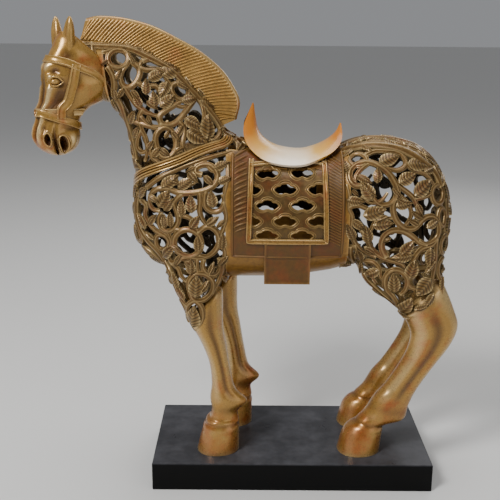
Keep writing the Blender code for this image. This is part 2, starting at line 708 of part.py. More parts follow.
def build_horse(collection, cutters):
    """Joins the outer bodies, hollows them, pierces the wall, then adds what lies on it."""
    horse = loft("horse", trunk_rings(20), collection)
    legs = []
    for side, fore, hind in ((-1, 0.0, 0.0), (1, FAR_FORE_STEP, FAR_HIND_STEP)):
        legs.append(loft("fore_leg", leg_rings(FORE_LEG, side, fore, 12), cutters))
        legs.append(loft("hind_leg", leg_rings(HIND_LEG, side, hind, 12), cutters))
    boolean(horse, [loft("neck", neck_rings(16), cutters)] + legs, "UNION")
    tree = tree_of(horse)
    piercing = scroll_cutters(horse, tree, cutters)

    hollow = loft("hollow", trunk_rings(12, -WALL, TRUNK[1:-1]), cutters)
    rooms = [loft("neck_room", neck_rings(10, WALL, NECK[1:]), cutters)]
    for side, fore, hind in ((-1, 0.0, 0.0), (1, FAR_FORE_STEP, FAR_HIND_STEP)):
        rooms.append(loft("fore_room", leg_rings(FORE_LEG[:4], side, fore, 8, WALL), cutters))
        rooms.append(loft("hind_room", leg_rings(HIND_LEG[:5], side, hind, 8, WALL), cutters))
    boolean(hollow, rooms, "UNION")
    boolean(horse, [hollow], "DIFFERENCE")
    keep_largest(horse)
    boolean(horse, piercing, "DIFFERENCE")
    keep_largest(horse)

    added = build_head(cutters) + bridle(cutters)
    added += [build_mane(cutters), breast_strap(tree, cutters)]
    added.append(loft("cloth", cloth_rings(CLOTH_RAISE, 0.002), cutters))
    for side in (-1, 1):
        added += [frame_bars(side, cutters), flap(side, cutters)]
    boolean(horse, added, "UNION")
    boolean(horse, [panel_cutters(cutters)] + mouth_cutters(cutters), "DIFFERENCE")
    keep_largest(horse)
    return horse


def build_plinth(collection):
    """The black base, its edges eased."""
    bpy.ops.mesh.primitive_cube_add(size=1.0, location=(0, 0, PLINTH[2] / 2))
    plinth = bpy.context.object
    plinth.name = "plinth"
    plinth.scale = PLINTH
    bpy.ops.object.transform_apply(location=False, rotation=False, scale=True)
    bevel = plinth.modifiers.new("eased_edges", "BEVEL")
    bevel.width = PLINTH_BEVEL
    bevel.segments = 2
    for other in list(plinth.users_collection):
        other.objects.unlink(plinth)
    collection.objects.link(plinth)
    return plinth


def material(name, colour, roughness, metallic=0.0):
    made = bpy.data.materials.new(name)
    made.use_nodes = True
    shader = made.node_tree.nodes["Principled BSDF"]
    shader.inputs["Base Color"].default_value = (*colour, 1.0)
    shader.inputs["Roughness"].default_value = roughness
    shader.inputs["Metallic"].default_value = metallic
    made.diffuse_color = (*colour, 1.0)
    return made


def main():
    clear_scene()
    statue = new_collection("horse_statue")
    cutters = new_collection("cutters", hidden=True)
    plinth = build_plinth(statue)
    horse = build_horse(statue, cutters)
    saddle = build_saddle(statue, cutters)
    plinth.data.materials.append(material("black_lacquer", (0.008, 0.008, 0.009), 0.35))
    horse.data.materials.clear()
    horse.data.materials.append(material("antique_gold", (0.38, 0.24, 0.09), 0.42))
    saddle.data.materials.clear()
    saddle.data.materials.append(material("amber_saddle", (0.68, 0.33, 0.10), 0.25))
    for obj in cutters.objects:
        obj.hide_render = True
        obj.display_type = "WIRE"


main()
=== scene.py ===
"""Looks of the horse statue: vine openwork, smooth legs and head, ribbed mane, saddle and cloth.

Metres, in the CAD's frame: +Z up, origin at the centre of the plinth's underside, facing -X.
"""

import logging
import math
from dataclasses import dataclass, field
from enum import Enum
from typing import Any, Callable, Sequence

import bmesh
import bpy
import numpy as np
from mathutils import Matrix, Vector, kdtree
from mathutils.bvhtree import BVHTree

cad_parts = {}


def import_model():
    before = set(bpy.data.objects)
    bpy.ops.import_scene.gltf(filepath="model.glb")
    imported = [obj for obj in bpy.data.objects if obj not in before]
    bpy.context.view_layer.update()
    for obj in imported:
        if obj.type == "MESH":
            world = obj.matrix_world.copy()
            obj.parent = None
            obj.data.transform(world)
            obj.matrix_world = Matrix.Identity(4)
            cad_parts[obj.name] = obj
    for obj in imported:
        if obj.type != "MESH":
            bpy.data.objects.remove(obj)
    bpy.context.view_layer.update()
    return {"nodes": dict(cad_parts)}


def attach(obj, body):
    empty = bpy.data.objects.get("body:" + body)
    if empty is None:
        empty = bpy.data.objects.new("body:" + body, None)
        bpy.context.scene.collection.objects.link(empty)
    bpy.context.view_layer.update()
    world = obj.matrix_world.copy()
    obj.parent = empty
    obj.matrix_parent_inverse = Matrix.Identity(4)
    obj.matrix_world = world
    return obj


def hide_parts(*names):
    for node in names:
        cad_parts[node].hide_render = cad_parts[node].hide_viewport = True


LOG = logging.getLogger("horse_statue")

Rows = Sequence[Sequence[float]]
Piece = bpy.types.Object
Finish = bpy.types.Material

LEG_Y = 0.042  # a leg's middle, out from the centre plane
HEAD_TURN = math.radians(38.0)  # the head is turned to the near side
FLOOR = 0.0373  # the plinth's top, where the hoofs stand
CLOTH_RAISE = 0.0030  # the cloth's face above the trunk
STRAP_AXIS_X = -0.120  # upright axis that the breast strap runs round
FORE_BACK, HIND_BACK = 0.017, 0.008  # how far back the far leg of each pair stands
NECK_FOOT = 0.40  # height that parts the neck from the forehand
RING_LEAN = 0.26  # how much narrower a neck's section is at the crest

# Trunk stations: x, bottom z, top z, half width
TRUNK = (
    (-0.203, 0.322, 0.376, 0.020), (-0.197, 0.306, 0.404, 0.036), (-0.182, 0.290, 0.424, 0.051),
    (-0.155, 0.276, 0.444, 0.062), (-0.115, 0.268, 0.456, 0.069), (-0.072, 0.267, 0.443, 0.073),
    (-0.032, 0.268, 0.424, 0.075), (0.008, 0.271, 0.419, 0.075), (0.045, 0.277, 0.427, 0.073),
    (0.085, 0.288, 0.444, 0.072), (0.125, 0.296, 0.443, 0.069), (0.158, 0.300, 0.431, 0.060),
    (0.182, 0.306, 0.404, 0.046), (0.196, 0.322, 0.366, 0.024),
)
# Neck stations: front x, z, crest x, z, y, half width
NECK = (
    (-0.240, 0.494, -0.262, 0.564, -0.016, 0.022), (-0.227, 0.485, -0.236, 0.563, -0.012, 0.026),
    (-0.215, 0.470, -0.205, 0.561, -0.008, 0.030), (-0.208, 0.450, -0.176, 0.549, -0.004, 0.035),
    (-0.204, 0.427, -0.150, 0.533, -0.002, 0.041), (-0.201, 0.402, -0.128, 0.510, 0.000, 0.047),
    (-0.200, 0.375, -0.108, 0.487, 0.000, 0.053), (-0.200, 0.345, -0.092, 0.464, 0.000, 0.058),
    (-0.180, 0.320, -0.085, 0.430, 0.000, 0.058),
)
# Leg stations: front x, z, back x, z, y as a share of LEG_Y, half width
FORE_LEG = (
    (-0.166, 0.335, -0.086, 0.335, 0.92, 0.029), (-0.162, 0.286, -0.084, 0.286, 0.96, 0.028),
    (-0.152, 0.260, -0.088, 0.258, 1.00, 0.0255), (-0.143, 0.238, -0.091, 0.236, 1.00, 0.0225),
    (-0.132, 0.212, -0.090, 0.208, 1.00, 0.0195), (-0.118, 0.186, -0.086, 0.182, 1.00, 0.0165),
    (-0.108, 0.158, -0.081, 0.152, 1.00, 0.0148), (-0.105, 0.130, -0.074, 0.122, 1.00, 0.0138),
    (-0.107, 0.110, -0.059, 0.105, 1.00, 0.0150), (-0.105, 0.095, -0.070, 0.092, 1.00, 0.0152),
    (-0.107, 0.084, -0.070, 0.082, 1.00, 0.0165), (-0.114, 0.076, -0.069, 0.074, 1.00, 0.0215),
    (-0.124, FLOOR, -0.069, FLOOR, 1.00, 0.0268),
)
HIND_LEG = (
    (0.078, 0.345, 0.190, 0.350, 0.82, 0.034), (0.075, 0.310, 0.189, 0.318, 0.86, 0.033),
    (0.084, 0.277, 0.187, 0.290, 0.90, 0.031), (0.104, 0.255, 0.188, 0.269, 0.95, 0.0275),
    (0.126, 0.238, 0.192, 0.253, 1.00, 0.0235), (0.141, 0.221, 0.203, 0.234, 1.00, 0.0190),
    (0.150, 0.200, 0.210, 0.210, 1.00, 0.0165), (0.147, 0.178, 0.202, 0.185, 1.00, 0.0150),
    (0.137, 0.156, 0.183, 0.156, 1.00, 0.0140), (0.121, 0.130, 0.163, 0.124, 1.00, 0.0136),
    (0.107, 0.112, 0.153, 0.100, 1.00, 0.0146), (0.096, 0.093, 0.147, 0.080, 1.00, 0.0152),
    (0.084, 0.080, 0.123, 0.073, 1.00, 0.0168), (0.069, 0.066, 0.119, 0.058, 1.00, 0.0220),
    (0.061, FLOOR, 0.117, FLOOR, 1.00, 0.0272),
)
# Head stations, top to bottom: z, leftmost x, rightmost x in side view, half width
HEAD = (
    (0.571, -0.282, -0.271, 0.007), (0.564, -0.288, -0.263, 0.013), (0.553, -0.293, -0.252, 0.019),
    (0.541, -0.298, -0.238, 0.022), (0.530, -0.303, -0.230, 0.025), (0.518, -0.305, -0.226, 0.025),
    (0.508, -0.305, -0.226, 0.024), (0.498, -0.306, -0.229, 0.022), (0.490, -0.307, -0.238, 0.020),
    (0.482, -0.310, -0.254, 0.018), (0.470, -0.311, -0.264, 0.0165), (0.458, -0.314, -0.265, 0.0170),
    (0.447, -0.315, -0.265, 0.0180), (0.437, -0.311, -0.268, 0.0165), (0.430, -0.303, -0.275, 0.0115),
    (0.4265, -0.295, -0.283, 0.0055),
)
# Mane: inner and outer edge x, z from poll to withers
MANE_IN = ((-0.262, 0.562), (-0.238, 0.559), (-0.205, 0.556), (-0.178, 0.544), (-0.153, 0.529),
           (-0.131, 0.506), (-0.110, 0.482), (-0.092, 0.461))
MANE_OUT = ((-0.256, 0.583), (-0.240, 0.586), (-0.212, 0.584), (-0.180, 0.576), (-0.150, 0.562),
            (-0.123, 0.547), (-0.097, 0.526), (-0.081, 0.504), (-0.074, 0.486), (-0.078, 0.465))
# Saddle stations: ridge x, z, skirt edge x, z, skirt half width
SADDLE = (
    (-0.0535, 0.487, -0.0550, 0.486, 0.0015), (-0.0525, 0.478, -0.0600, 0.474, 0.0080),
    (-0.0505, 0.466, -0.0655, 0.460, 0.0180), (-0.0470, 0.454, -0.0640, 0.445, 0.0300),
    (-0.0400, 0.444, -0.0550, 0.432, 0.0400), (-0.0270, 0.4355, -0.0400, 0.4220, 0.0470),
    (-0.0100, 0.4310, -0.0180, 0.4170, 0.0500), (0.0080, 0.4300, 0.0060, 0.4170, 0.0500),
    (0.0240, 0.4340, 0.0250, 0.4230, 0.0460), (0.0360, 0.4400, 0.0420, 0.4300, 0.0370),
    (0.0450, 0.4470, 0.0530, 0.4390, 0.0250), (0.0510, 0.4540, 0.0570, 0.4490, 0.0130),
    (0.0550, 0.4630, 0.0565, 0.4620, 0.0015),
)
# Breast strap: azimuth in degrees about the withers' axis, height
STRAP = ((-50, 0.440), (-72, 0.436), (-102, 0.427), (-135, 0.411), (-160, 0.395), (-180, 0.386))
# Cloth: front x, back x, hem z
CLOTH = (-0.078, 0.055, 0.308)
# Panel frame and girth flap: front x, back x, low z, high z
FRAME = (-0.056, 0.033, 0.328, 0.4125)
FLAP = (-0.039, 0.017, 0.273, 0.326)
# Vines of one flank: width in percent, whether closed, then x and z in mm from stem to tip
VINES = (
    (110, 0, (77, 395), (68, 395), (62, 403), (64, 413), (73, 420), (86, 422), (98, 418), (109, 410), (116, 400),
     (120, 390), (118, 380), (112, 374), (102, 372), (94, 376), (89, 384)),
    (90, 0, (116, 400), (124, 393), (134, 386), (141, 379), (145, 370), (148, 359)),
    (105, 0, (118, 380), (115, 371), (117, 359), (123, 349), (132, 343), (142, 343), (148, 348), (156, 355),
     (166, 356), (173, 350), (176, 340), (174, 330), (166, 324), (158, 323), (149, 328)),
    (110, 0, (110, 306), (104, 318), (105, 329), (111, 338), (122, 341), (133, 338), (143, 331), (151, 324),
     (160, 321)),
    (100, 0, (173, 328), (167, 320), (155, 318), (147, 310), (142, 299), (138, 286), (137, 276)),
    (105, 0, (133, 234), (121, 254), (113, 263), (110, 277), (114, 287), (123, 291), (132, 287), (138, 277),
     (136, 265), (130, 258)),
    (90, 0, (78, 342), (86, 328), (93, 315), (103, 307), (115, 303), (128, 299), (136, 291)),
    (90, 0, (59, 396), (62, 383), (61, 369), (66, 357), (65, 340), (71, 325), (83, 311), (98, 306)),
    (85, 1, (62, 421), (65, 427), (73, 431), (81, 429), (84, 424), (80, 418), (70, 417)),
    (95, 0, (81, 429), (93, 434), (106, 434), (118, 433), (128, 429), (132, 421), (127, 415), (118, 413), (108, 416),
     (98, 418)),
    (185, 0, (56, 430), (69, 435), (87, 439), (105, 439), (123, 436), (139, 430), (155, 420), (170, 407), (179, 390)),
    (90, 1, (172, 393), (165, 388), (166, 377), (173, 370), (180, 372), (183, 381), (180, 390)),
    (85, 1, (179, 365), (175, 357), (176, 348), (182, 342), (185, 350), (185, 360)),
    (90, 0, (132, 421), (140, 413), (150, 410), (158, 406), (165, 398), (169, 392)),
    (100, 0, (173, 328), (173, 313), (173, 298), (171, 283), (169, 269)),
    (100, 0, (66, 320), (69, 302), (85, 279), (93, 268), (112, 251), (130, 237)),
    (85, 0, (71, 322), (81, 300), (94, 299), (102, 292), (104, 281), (110, 275)),
    (80, 0, (86, 421), (76, 414), (70, 406), (69, 397)),
    (85, 0, (61, 369), (71, 372), (81, 369), (89, 363), (94, 354), (91, 344), (86, 333)),
    (85, 0, (102, 372), (100, 364), (105, 356), (115, 356)),
    (80, 0, (148, 359), (145, 352), (149, 349)),
    (80, 0, (137, 276), (142, 268), (153, 266), (162, 269), (170, 275)),
    (80, 0, (141, 379), (153, 380), (162, 383), (167, 387)),
    (105, 0, (-115, 406), (-122, 408), (-122, 414), (-113, 418), (-103, 416), (-96, 407), (-98, 397), (-106, 390),
     (-118, 386), (-132, 384), (-144, 384), (-156, 388), (-168, 388), (-177, 382), (-180, 371), (-176, 362),
     (-167, 360)),
    (100, 0, (-139, 383), (-149, 372), (-146, 362), (-144, 350), (-150, 339), (-159, 335), (-167, 340), (-169, 351),
     (-165, 358)),
    (95, 0, (-110, 388), (-112, 377), (-110, 367), (-101, 362), (-92, 365), (-88, 375), (-90, 384)),
    (90, 0, (-118, 386), (-117, 375), (-118, 363), (-115, 353), (-108, 344)),
    (105, 1, (-140, 338), (-149, 329), (-149, 316), (-141, 308), (-130, 305), (-120, 310), (-116, 320), (-119, 333),
     (-129, 339)),
    (100, 0, (-121, 335), (-109, 344), (-98, 339), (-94, 327), (-98, 314), (-108, 305), (-119, 307)),
    (95, 0, (-160, 310), (-154, 295), (-141, 303), (-128, 304), (-116, 303), (-108, 305)),
    (85, 0, (-113, 302), (-114, 291), (-107, 282), (-98, 281), (-93, 290), (-95, 302)),
    (100, 1, (-130, 258), (-132, 273), (-124, 283), (-112, 283), (-102, 273), (-103, 259), (-113, 249), (-125, 249)),
    (100, 1, (-135, 238), (-133, 218), (-126, 205), (-122, 209), (-115, 223), (-116, 239), (-125, 248)),
    (105, 0, (-196, 379), (-199, 362), (-198, 346), (-194, 332), (-184, 318), (-173, 307), (-164, 293), (-156, 281),
     (-152, 265), (-145, 250), (-135, 239)),
    (90, 0, (-193, 370), (-185, 365), (-187, 353), (-181, 342), (-172, 334), (-163, 330), (-157, 323), (-160, 310)),
    (85, 1, (-171, 329), (-174, 320), (-170, 310), (-162, 311), (-156, 321), (-162, 330)),
    (90, 0, (-84, 421), (-83, 406), (-86, 391), (-89, 375)),
    (90, 0, (-89, 375), (-85, 357), (-89, 341), (-95, 327)),
    (95, 0, (-95, 327), (-87, 313), (-89, 291), (-94, 272), (-103, 256)),
    (80, 0, (-150, 339), (-140, 338)),
    (80, 0, (-143, 356), (-133, 355), (-125, 349), (-119, 334)),
    (80, 0, (-154, 295), (-145, 289), (-142, 280), (-135, 273)),
    (80, 0, (-121, 304), (-122, 292), (-120, 283)),
    (100, 1, (-228, 539), (-226, 547), (-218, 551), (-208, 549), (-203, 542), (-206, 533), (-215, 529), (-224, 532)),
    (100, 0, (-203, 542), (-197, 535), (-191, 530), (-190, 522), (-194, 513), (-201, 507), (-209, 508), (-213, 516),
     (-211, 525), (-206, 532)),
    (85, 0, (-235, 548), (-230, 549), (-224, 551), (-220, 556), (-224, 560)),
    (85, 0, (-220, 556), (-215, 552), (-208, 551), (-203, 554), (-206, 559)),
    (90, 0, (-203, 554), (-197, 552), (-190, 553), (-186, 546), (-177, 549), (-180, 542), (-188, 538), (-191, 530)),
    (95, 0, (-188, 538), (-177, 540), (-165, 537), (-155, 531), (-148, 529), (-144, 522), (-145, 512)),
    (90, 0, (-191, 530), (-183, 527), (-171, 527), (-162, 523), (-157, 515), (-152, 509)),
    (95, 1, (-152, 509), (-144, 512), (-134, 507), (-132, 498), (-139, 492), (-147, 495), (-152, 502)),
    (80, 0, (-145, 523), (-145, 518), (-140, 512), (-135, 512), (-138, 509)),
    (80, 0, (-134, 507), (-129, 509), (-123, 504), (-123, 497), (-131, 496)),
    (100, 0, (-164, 464), (-167, 473), (-159, 480), (-149, 486), (-139, 492)),
    (105, 0, (-166, 464), (-154, 463), (-144, 468), (-136, 478), (-129, 487), (-121, 496)),
    (95, 0, (-144, 468), (-137, 460), (-137, 450), (-139, 440), (-134, 430)),
    (90, 0, (-121, 496), (-115, 485), (-112, 472), (-114, 462), (-113, 452), (-105, 445)),
    (100, 1, (-172, 445), (-168, 456), (-159, 461), (-151, 455), (-146, 444), (-148, 432), (-156, 425), (-166, 428)),
    (90, 0, (-172, 445), (-178, 435), (-175, 424), (-163, 417)),
    (90, 0, (-202, 467), (-189, 464), (-176, 461), (-166, 457)),
    (110, 0, (-228, 531), (-222, 521), (-220, 510), (-221, 498), (-215, 484), (-210, 467), (-205, 449), (-201, 432),
     (-199, 418)),
    (90, 0, (-194, 513), (-183, 508), (-171, 509), (-164, 499), (-165, 491), (-159, 480)),
    (90, 0, (-209, 508), (-202, 497), (-195, 487), (-187, 481), (-181, 477), (-166, 473)),
    (85, 0, (-187, 481), (-192, 471), (-189, 457), (-184, 447), (-182, 433), (-186, 419)),
    (85, 0, (-189, 457), (-195, 446), (-196, 435), (-190, 429), (-182, 433)),
    (85, 0, (-106, 479), (-96, 467), (-93, 455), (-98, 446), (-105, 445)),
    (95, 0, (-184, 388), (-169, 400), (-149, 410), (-130, 418), (-111, 425), (-91, 430), (-78, 433)),
    (70, 0, (-149, 405), (-145, 396), (-133, 392), (-122, 398)),
    (70, 0, (-111, 420), (-103, 411), (-93, 411), (-87, 419)),
    (70, 0, (76, 383), (88, 375), (100, 377), (108, 387)),
    (75, 0, (123, 383), (133, 375), (139, 361), (134, 349), (124, 342)),
    (70, 0, (-190, 473), (-181, 464), (-168, 461), (-156, 468)),
    (70, 0, (-157, 499), (-151, 489), (-139, 484), (-130, 488)),
    (75, 0, (-165, 341), (-156, 331), (-154, 319), (-163, 306)),
)
# Leaves of one flank: root x, z and tip x, z in mm, width in tenths
LEAVES = (
    (90, 378, 77, 399, 12), (95, 398, 96, 415, 11), (121, 398, 142, 408, 12), (141, 383, 161, 399, 12),
    (118, 371, 138, 374, 11), (144, 373, 152, 358, 9), (158, 343, 173, 351, 10), (127, 310, 142, 327, 12),
    (142, 310, 118, 306, 11), (139, 279, 145, 303, 13), (164, 318, 164, 295, 12), (167, 279, 151, 259, 16),
    (123, 261, 120, 286, 11), (98, 420, 122, 428, 12), (133, 419, 158, 415, 12), (79, 359, 105, 367, 12),
    (91, 348, 115, 350, 12), (59, 378, 79, 376, 11), (66, 354, 81, 342, 10), (88, 324, 83, 346, 11),
    (70, 329, 60, 348, 10), (103, 290, 88, 280, 11), (82, 297, 74, 315, 10), (134, 233, 144, 253, 12),
    (60, 408, 56, 421, 10), (154, 409, 168, 412, 10), (65, 390, 73, 383, 9), (101, 271, 95, 280, 9),
    (77, 438, 90, 433, 8), (171, 300, 160, 287, 9), (120, 443, 133, 438, 9), (151, 435, 158, 426, 9),
    (-168, 365, -155, 386, 12), (-161, 361, -150, 376, 11), (-127, 360, -129, 381, 12), (-139, 355, -140, 375, 10),
    (-101, 367, -104, 387, 12), (-160, 340, -162, 356, 11), (-153, 341, -154, 359, 10), (-185, 336, -195, 352, 11),
    (-181, 342, -172, 355, 10), (-129, 341, -118, 357, 11), (-109, 346, -95, 356, 11), (-129, 283, -129, 302, 12),
    (-146, 263, -152, 283, 11), (-137, 248, -148, 266, 10), (-124, 253, -122, 280, 13), (-127, 210, -126, 239, 12),
    (-164, 300, -150, 317, 10), (-144, 389, -126, 401, 11), (-164, 389, -144, 404, 11), (-96, 397, -80, 403, 11),
    (-119, 311, -120, 332, 11), (-107, 282, -101, 297, 9), (-91, 315, -89, 335, 10), (-95, 292, -84, 306, 10),
    (-118, 260, -108, 274, 10), (-194, 374, -183, 388, 10), (-122, 414, -134, 408, 9), (-87, 353, -97, 343, 9),
    (-175, 323, -186, 331, 9), (-141, 307, -149, 293, 9), (-197, 534, -203, 544, 9), (-180, 516, -163, 524, 13),
    (-164, 520, -147, 528, 13), (-158, 513, -165, 496, 13), (-182, 498, -183, 516, 11), (-172, 483, -174, 502, 12),
    (-166, 484, -150, 497, 12), (-140, 490, -124, 493, 12), (-120, 490, -103, 480, 13), (-137, 470, -118, 460, 14),
    (-110, 446, -110, 472, 13), (-134, 456, -111, 442, 13), (-147, 449, -139, 462, 10), (-188, 484, -197, 498, 11),
    (-218, 491, -222, 506, 10), (-203, 463, -197, 479, 10), (-181, 474, -176, 464, 10), (-199, 446, -192, 460, 9),
    (-218, 515, -212, 527, 10), (-160, 447, -154, 457, 9), (-175, 425, -165, 437, 11), (-198, 552, -188, 545, 10),
    (-133, 430, -120, 431, 10), (-152, 531, -164, 534, 10), (-131, 507, -138, 517, 9), (-228, 538, -235, 533, 9),
    (-209, 506, -216, 494, 9), (-182, 433, -174, 444, 10), (-148, 432, -137, 437, 9), (-123, 503, -115, 494, 9),
    (71, 406, 88, 398, 9), (75, 394, 93, 383, 10), (119, 379, 134, 370, 9), (153, 354, 138, 364, 9),
    (149, 346, 135, 354, 9), (114, 393, 124, 381, 8), (109, 359, 95, 353, 9), (115, 331, 105, 326, 8),
    (83, 318, 97, 310, 9), (-158, 401, -142, 394, 10), (-132, 409, -120, 397, 10), (-101, 413, -83, 420, 10),
    (-113, 405, -101, 394, 9), (-180, 380, -167, 371, 9), (-182, 491, -169, 482, 9), (-151, 456, -142, 445, 10),
    (-130, 460, -117, 453, 9), (-200, 504, -190, 492, 9), (-171, 529, -158, 521, 9), (-147, 512, -134, 504, 9),
    (-154, 319, -142, 312, 9), (-137, 300, -125, 290, 9), (-166, 436, -154, 427, 9),
)


class Slot(Enum):
    """Names of the two material slots, horse and saddle."""

    HORSE = "horse"
    SADDLE = "saddle"


class Side(Enum):
    """Which flank a mirrored piece lies on, as the sign of y."""

    NEAR = -1
    FAR = 1

    @property
    def tag(self) -> str:
        """The side as the names of pieces give it."""
        return self.name.lower()


# ---- Colour and material helpers


def linear(hex_code: str) -> tuple[float, float, float, float]:
    """Turns an sRGB hex colour into linear RGBA.

    Args:
        hex_code: six hex digits.

    Returns:
        Linear red, green, blue and an alpha of 1.
    """
    parts = [int(hex_code[i:i + 2], 16) / 255 for i in (0, 2, 4)]
    r, g, b = (c / 12.92 if c <= 0.04045 else ((c + 0.055) / 1.055) ** 2.4 for c in parts)
    return (r, g, b, 1.0)


def wire(tree: bpy.types.NodeTree, node: bpy.types.Node, links: dict[Any, Any]) -> None:
    """Feeds a node's inputs from outputs, or from nodes by their first output."""
    for key, source in links.items():
        tree.links.new(source.outputs[0] if isinstance(source, bpy.types.Node) else source, node.inputs[key])


def add(tree: bpy.types.NodeTree, kind: str, values: dict[Any, Any] | None = None,
        links: dict[Any, Any] | None = None, **settings: Any) -> bpy.types.Node:
    """Adds one node with its settings, input values and links.

    Args:
        tree: the node tree.
        kind: the node's class name.
        values: input socket (name or index) to value.
        links: input socket (name or index) to the output that feeds it, or to a node for its first output.
        settings: properties of the node.

    Returns:
        The node.
    """
    node = tree.nodes.new(kind)
    for key, value in settings.items():
        setattr(node, key, value)
    for key, value in (values or {}).items():
        node.inputs[key].default_value = value
    wire(tree, node, links or {})
    return node


def blank(name: str) -> tuple[Finish, bpy.types.NodeTree, bpy.types.Node]:
    """A new material with its node tree and its shader."""
    made = bpy.data.materials.new(name)
    made.use_nodes = True
    return made, made.node_tree, made.node_tree.nodes["Principled BSDF"]


def dress(tree: bpy.types.NodeTree, shader: bpy.types.Node, links: dict[str, Any], values: dict[str, Any]) -> None:
    """Sets a shader's inputs.

    Args:
        tree: the material's tree.
        shader: its shader.
        links: input socket to the output or node that feeds it.
        values: input socket to a value that is the same all over.
    """
    wire(tree, shader, links)
    for socket, value in values.items():
        shader.inputs[socket].default_value = value


@dataclass(frozen=True)
class PatinaGold:
    """Cast resin under antique gold lacquer: brown glaze lies in the hollows, raised edges are rubbed back to bright
    gold under a painted highlight, and painted shade darkens faces inside the hollow body, so relief reads by colour as
    well as by shade."""

    name: str
    ground: str = "A67F3C"
    rubbed: str = "E0BC7C"
    glaze: str = "2E2212"
    blush: str = "A3602A"
    blush_share: float = 0.35
    glaze_reach: float = 0.012
    glaze_depth: float = 0.85
    # share of rubbed gold and painted rim highlight on sharp edges
    rub: float = 0.8
    roughness: float = 0.36
    metallic: float = 0.55
    relief: float = 0.25
    # share of painted shade on faces that look into the hollow body
    dark_inside: float = 0.0
    warm_feet: float = 0.0
    mottling: float = 1.0
    veined: bool = False
    lacquer: float = 0.3

    def build(self) -> Finish:
        """Makes the material."""
        made, tree, shader = blank(self.name)
        coords = add(tree, "ShaderNodeTexCoord")
        place = coords.outputs["Object"]
        spot = add(tree, "ShaderNodeSeparateXYZ", {}, {0: place})
        # blotches of glaze about 25 mm across, mottling of about 5 mm, and the casting's fine grain
        blotch = add(tree, "ShaderNodeTexNoise", {"Scale": 40.0, "Detail": 3.0, "Roughness": 0.6}, {"Vector": place})
        mottle = add(tree, "ShaderNodeTexNoise", {"Scale": 210.0, "Detail": 4.0, "Roughness": 0.62}, {"Vector": place})
        grain = add(tree, "ShaderNodeTexNoise", {"Scale": 420.0, "Detail": 3.0}, {"Vector": place})
        tint = add(tree, "ShaderNodeMapRange", {"From Min": 0.62 - 0.25 * self.blush_share, "From Max": 0.72},
                   {"Value": blotch})
        # the orange lies thickest round fetlocks and hoofs
        low = add(tree, "ShaderNodeMapRange", {"From Min": 0.150, "From Max": 0.065, "To Max": self.warm_feet},
                  {"Value": spot.outputs["Z"]})
        patchy = add(tree, "ShaderNodeMapRange", {"From Min": 0.38, "From Max": 0.62}, {"Value": blotch})
        feet = add(tree, "ShaderNodeMath", {}, {0: low, 1: patchy}, operation="MULTIPLY")
        warm = add(tree, "ShaderNodeMath", {}, {0: tint, 1: feet}, operation="MAXIMUM")
        base = add(tree, "ShaderNodeMix", {6: linear(self.ground), 7: linear(self.blush)}, {0: warm}, data_type="RGBA")
        dapple = add(tree, "ShaderNodeMapRange",
                     {"From Min": 0.35, "From Max": 0.7,
                      "To Min": 1 - 0.28 * self.mottling, "To Max": 1 + 0.14 * self.mottling}, {"Value": mottle})
        dappled = add(tree, "ShaderNodeVectorMath", {}, {0: base.outputs[2], "Scale": dapple}, operation="SCALE")
        # glaze and painted shade in carved channels, rubbed gold and painted highlight on ridges, as the piece's
        # attribute of wash and painted light says
        wash = add(tree, "ShaderNodeAttribute", attribute_name="wash")
        left = add(tree, "ShaderNodeMapRange", {"From Min": -0.05, "From Max": -1.0, "To Max": 0.86},
                   {"Value": wash.outputs["Fac"]})
        rubbed_and_highlit = add(tree, "ShaderNodeMapRange", {"From Min": 0.05, "From Max": 1.0, "To Max": 0.75},
                    {"Value": wash.outputs["Fac"]})
        # open surface keeps its gold, hollows fill with glaze, and sharp edges are rubbed bright and carry a painted
        # rim highlight
        hollow = add(tree, "ShaderNodeAmbientOcclusion", {"Distance": self.glaze_reach}, samples=6)
        shade = add(tree, "ShaderNodeMapRange",
                    {"From Min": 0.30, "From Max": 0.86, "To Min": self.glaze_depth, "To Max": 0.0},
                    {"Value": hollow.outputs["AO"]})
        edge = add(tree, "ShaderNodeNewGeometry")
        rubbed_edge_and_highlight = add(tree, "ShaderNodeMapRange", {"From Min": 0.51, "From Max": 0.60, "To Max": self.rub},
                   {"Value": edge.outputs["Pointiness"]})
        # painted shade: faces that look into the hollow body are darkened towards the glaze colour
        facing = add(tree, "ShaderNodeSeparateXYZ", {}, {0: coords.outputs["Normal"]})
        inward = add(tree, "ShaderNodeMath", {}, {0: spot.outputs["Y"], 1: facing.outputs["Y"]}, operation="MULTIPLY")
        inside = add(tree, "ShaderNodeMapRange", {"From Min": -0.002, "From Max": -0.022, "To Max": self.dark_inside},
                     {"Value": inward})
        # each coat covers its share of the ones before it
        colour = dappled.outputs[0]
        for coat, share in ((self.glaze, left), (self.rubbed, rubbed_and_highlit), (self.glaze, shade), (self.rubbed, rubbed_edge_and_highlight),
                            (self.glaze, inside)):
            colour = add(tree, "ShaderNodeMix", {7: linear(coat)}, {0: share, 6: colour}, data_type="RGBA").outputs[2]
        rough = add(tree, "ShaderNodeMapRange",
                    {"From Min": 0.3, "From Max": 0.75,
                     "To Min": self.roughness - 0.07, "To Max": self.roughness + 0.14}, {"Value": mottle})
        bump = add(tree, "ShaderNodeBump", {"Strength": self.relief, "Distance": 0.0006}, {"Height": grain})
        if self.veined:
            colour, bump = self._veins(tree, colour, grain)
        dress(tree, shader, {"Base Color": colour, "Roughness": rough, "Normal": bump},
              {"Metallic": self.metallic, "Coat Weight": self.lacquer, "Coat Roughness": 0.22})
        return made

